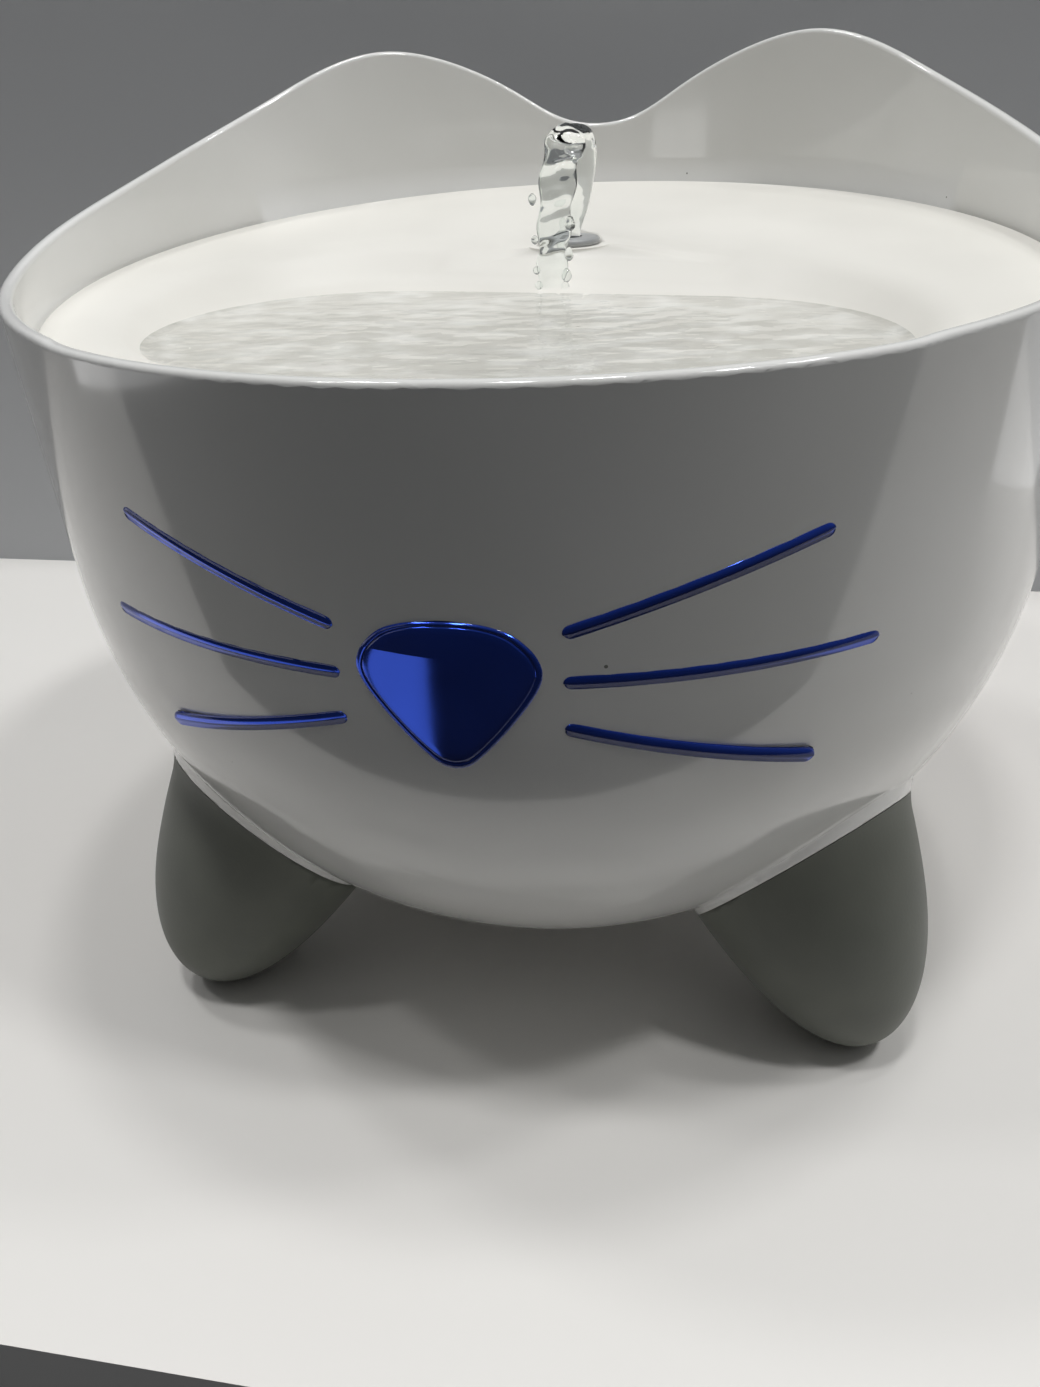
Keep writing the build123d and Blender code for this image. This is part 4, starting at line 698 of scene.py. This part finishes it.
# Jet: a flat tube that grows lumps from near its top (lump) and parts into two
# strands on the way down (split).
rows = []
for k in range(JET_STEPS + 1):
    share = k / JET_STEPS
    here = along(JET_PATH, share)
    ahead = along(JET_PATH, min(share + 0.01, 1.0))
    behind = along(JET_PATH, max(share - 0.01, 0.0))
    way = (Vector(ahead[:3]) - Vector(behind[:3])).normalized()
    wide = Vector((1, 0, 0))
    thick = way.cross(wide).normalized()
    wide = thick.cross(way).normalized()
    split = min(max((share - SPLIT_FROM) / 0.4, 0.0), 1.0)
    lump = min(max((share - LUMPS_FROM) / 0.2, 0.0), 1.0)
    row = []
    for j in range(JET_POINTS):
        angle = math.tau * j / JET_POINTS
        side = math.cos(angle)
        bead = 1 + lump * (
            0.20 * math.sin(share * 62 + (1.9 if side > 0 else 0.0))
            + 0.12 * math.sin(share * 117 + 2.2 * side)
        )
        lobe = (1 - split) + split * (0.18 + 1.15 * abs(side) ** 2.2)
        reach = here[3] * (1 + 0.10 * lump * math.sin(share * 47 + 3 * side)) * side
        depth = here[4] * bead * lobe * math.sin(angle)
        row.append((Vector(here[:3]) + wide * reach + thick * depth) * MM)
    rows.append(row)
shell_of("water_jet", rows, clear_water, "nozzle_body")


def beads(name, places, material, body):
    """Drops of water, each a slightly drawn-out ball."""
    form = bmesh.new()
    for x, y, z, size, drawn in places:
        made = bmesh.ops.create_icosphere(form, subdivisions=3, radius=size * MM)
        for vertex in made["verts"]:
            vertex.co.z *= drawn
            vertex.co.x *= 1 + 0.15 * math.sin(vertex.co.z / MM * 2 + x)
            vertex.co += Vector((x, y, z)) * MM
    mesh = bpy.data.meshes.new(name)
    form.to_mesh(mesh)
    form.free()
    mesh.materials.append(material)
    mesh.shade_smooth()
    piece = bpy.data.objects.new(name, mesh)
    bpy.context.scene.collection.objects.link(piece)
    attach(piece, body)


DROPS = (               # x, y, z, radius, how far drawn out in height
    (-5.6, 17.0, 171.6, 0.9, 1.5), (3.3, 17.2, 166.2, 1.2, 1.4), (-5.2, 16.6, 162.8, 0.8, 1.3),
    (3.0, 16.6, 159.6, 1.0, 1.7), (-4.9, 16.2, 156.0, 0.8, 1.2), (2.4, 16.3, 154.8, 1.1, 1.5),
    (2.0, 16.0, 152.4, 0.9, 1.2), (-4.4, 16.0, 152.6, 0.9, 1.1), (4.2, 20.5, 179.4, 0.6, 1.2),
)
beads("water_drops", DROPS, clear_water, "nozzle_body")

# ------------------------------------------------------------- camera and room
# The fountain stands near the front edge of a pale table with a low grey board
# behind it, under a grid of soft ceiling lights. The camera looks down on it
# from the front, a little from the right.

CAMERA_PLACE = (0.038817, -0.251872, 0.196308)      # the room's sizes are in metres
CAMERA_RIGHT = (0.98464, 0.16952, -0.04189)
CAMERA_UP = (-0.05040, 0.50557, 0.86131)
CAMERA_BACK = (0.16718, -0.84597, 0.50634)
TABLE_FRONT = -0.166
TABLE_HALF = 3.0
TABLE_DROP = -0.02
FLOOR_HALF = 4.0
BOARD_BACK = 0.182
BOARD_HEIGHT = 0.27
LAMP_HEIGHT = 2.0
LAMP_SIZE = 0.17

camera_data = bpy.data.cameras.new("camera")
camera = bpy.data.objects.new("camera", camera_data)
bpy.context.scene.collection.objects.link(camera)
axes = list(zip(CAMERA_RIGHT, CAMERA_UP, CAMERA_BACK, CAMERA_PLACE))
camera.matrix_world = Matrix(axes + [(0, 0, 0, 1)])
camera_data.lens = 27.13
camera_data.sensor_width = 36.0
camera_data.sensor_fit = "AUTO"
camera_data.clip_start = 0.01
bpy.context.scene.camera = camera
bpy.context.scene.view_settings.view_transform = "Standard"


def panel(name, corners, material):
    """Flat part of the room."""
    mesh = bpy.data.meshes.new(name)
    mesh.from_pydata(corners, [], [tuple(range(len(corners)))])
    mesh.materials.append(material)
    made = bpy.data.objects.new(name, mesh)
    bpy.context.scene.collection.objects.link(made)


# Laminate: warm, nearly white, with a broad soft shine and hardly any texture.
pale_laminate = moulded("pale_laminate", "#F1EEEA", "#F5F3EF", (0.30, 0.38), 3.0, 0.01, patch_mm=300.0)
# Floor paint: dark grey, matte.
floor_paint = moulded("floor_paint", "#333538", "#3C3E41", (0.6, 0.7), 3.0, 0.02, patch_mm=300.0)
# Board paint: pale grey and matte. Seen from behind, the board is clear.
board_paint, tree, shader = start_material("board_paint")
tint(tree, shader, mottle(tree, 400.0), "#B4B6B9", "#BEC0C3")
vary_roughness(tree, shader, mottle(tree, 80.0), 0.55, 0.65)
backs = add(tree, "ShaderNodeNewGeometry").outputs["Backfacing"]
open_back = add(
    tree, "ShaderNodeMixShader",
    links={0: backs, 1: shader.outputs["BSDF"], 2: add(tree, "ShaderNodeBsdfTransparent").outputs["BSDF"]},
)
tree.links.new(open_back.outputs["Shader"], tree.nodes["Material Output"].inputs["Surface"])
for name, half, near, low, far, high, paint in (
    ("table_top", TABLE_HALF, TABLE_FRONT, 0, TABLE_HALF, 0, pale_laminate),
    ("table_edge", TABLE_HALF, TABLE_FRONT, TABLE_DROP, TABLE_FRONT, 0, pale_laminate),
    ("ground", FLOOR_HALF, -FLOOR_HALF, TABLE_DROP, TABLE_FRONT, TABLE_DROP, floor_paint),
    ("board", TABLE_HALF, BOARD_BACK, 0, BOARD_BACK, BOARD_HEIGHT, board_paint),
):
    corners = [(-half, near, low), (half, near, low), (half, far, high), (-half, far, high)]
    panel(name, corners, paint)

# Surroundings: nearly black below and behind the camera, mid grey above the board.
world = bpy.data.worlds.new("soft_room")
world.use_nodes = True
tree = world.node_tree
sky = add(
    tree, "ShaderNodeVectorMath", {1: (0.15, 0.62, 0.77)},
    {0: add(tree, "ShaderNodeTexCoord").outputs["Generated"]}, operation="DOT_PRODUCT",
)
ramp = add(tree, "ShaderNodeValToRGB", links={"Fac": sky.outputs["Value"]})
ramp.color_ramp.elements[0].position = 0.05
ramp.color_ramp.elements[0].color = linear("#1D1D1E")
ramp.color_ramp.elements[1].position = 0.9
ramp.color_ramp.elements[1].color = linear("#A2A3A4")
tree.links.new(ramp.outputs["Color"], tree.nodes["Background"].inputs["Color"])
tree.nodes["Background"].inputs["Strength"].default_value = 1.0
bpy.context.scene.world = world


def softbox(name, place, target, size, power):
    """Rectangular studio light that the camera doesn't see."""
    light = bpy.data.lights.new(name, "AREA")
    light.shape = "RECTANGLE"
    light.size, light.size_y = size
    light.energy = power
    lamp = bpy.data.objects.new(name, light)
    bpy.context.scene.collection.objects.link(lamp)
    lamp.location = place
    lamp.rotation_euler = (Vector(target) - Vector(place)).to_track_quat("-Z", "Y").to_euler()
    lamp.visible_camera = False
    return lamp


CEILING = (             # x, y, watts
    (-1.00, -0.30, 3.6), (-0.09, -0.33, 7.0), (0.90, -0.28, 7.8),
    (-0.72, 0.20, 4.6), (0.18, 0.12, 5.9), (1.10, 0.20, 4.6),
)
for k, (x, y, power) in enumerate(CEILING):
    softbox(f"ceiling_{k}", (x, y, LAMP_HEIGHT), (x * 0.2, 0.0, 0.1), (LAMP_SIZE, LAMP_SIZE), power)
# A faint low light on the right lifts the bowl's dark flank.
softbox("right_low", (0.42, 0.12, 0.06), (0.06, -0.06, 0.12), (0.14, 0.12), 0.04)
# Two panels on the left are only seen in reflections: they give the blue facets
# something bright to mirror.
for name, place, size, power in (
    ("left_front", (-0.277, -0.466, 0.145), (0.15, 0.11), 0.070),
    ("left_long", (-0.38, -0.22, 0.110), (0.36, 0.08), 0.120),
):
    softbox(name, place, (0, -0.11, 0.11), size, power).visible_diffuse = False
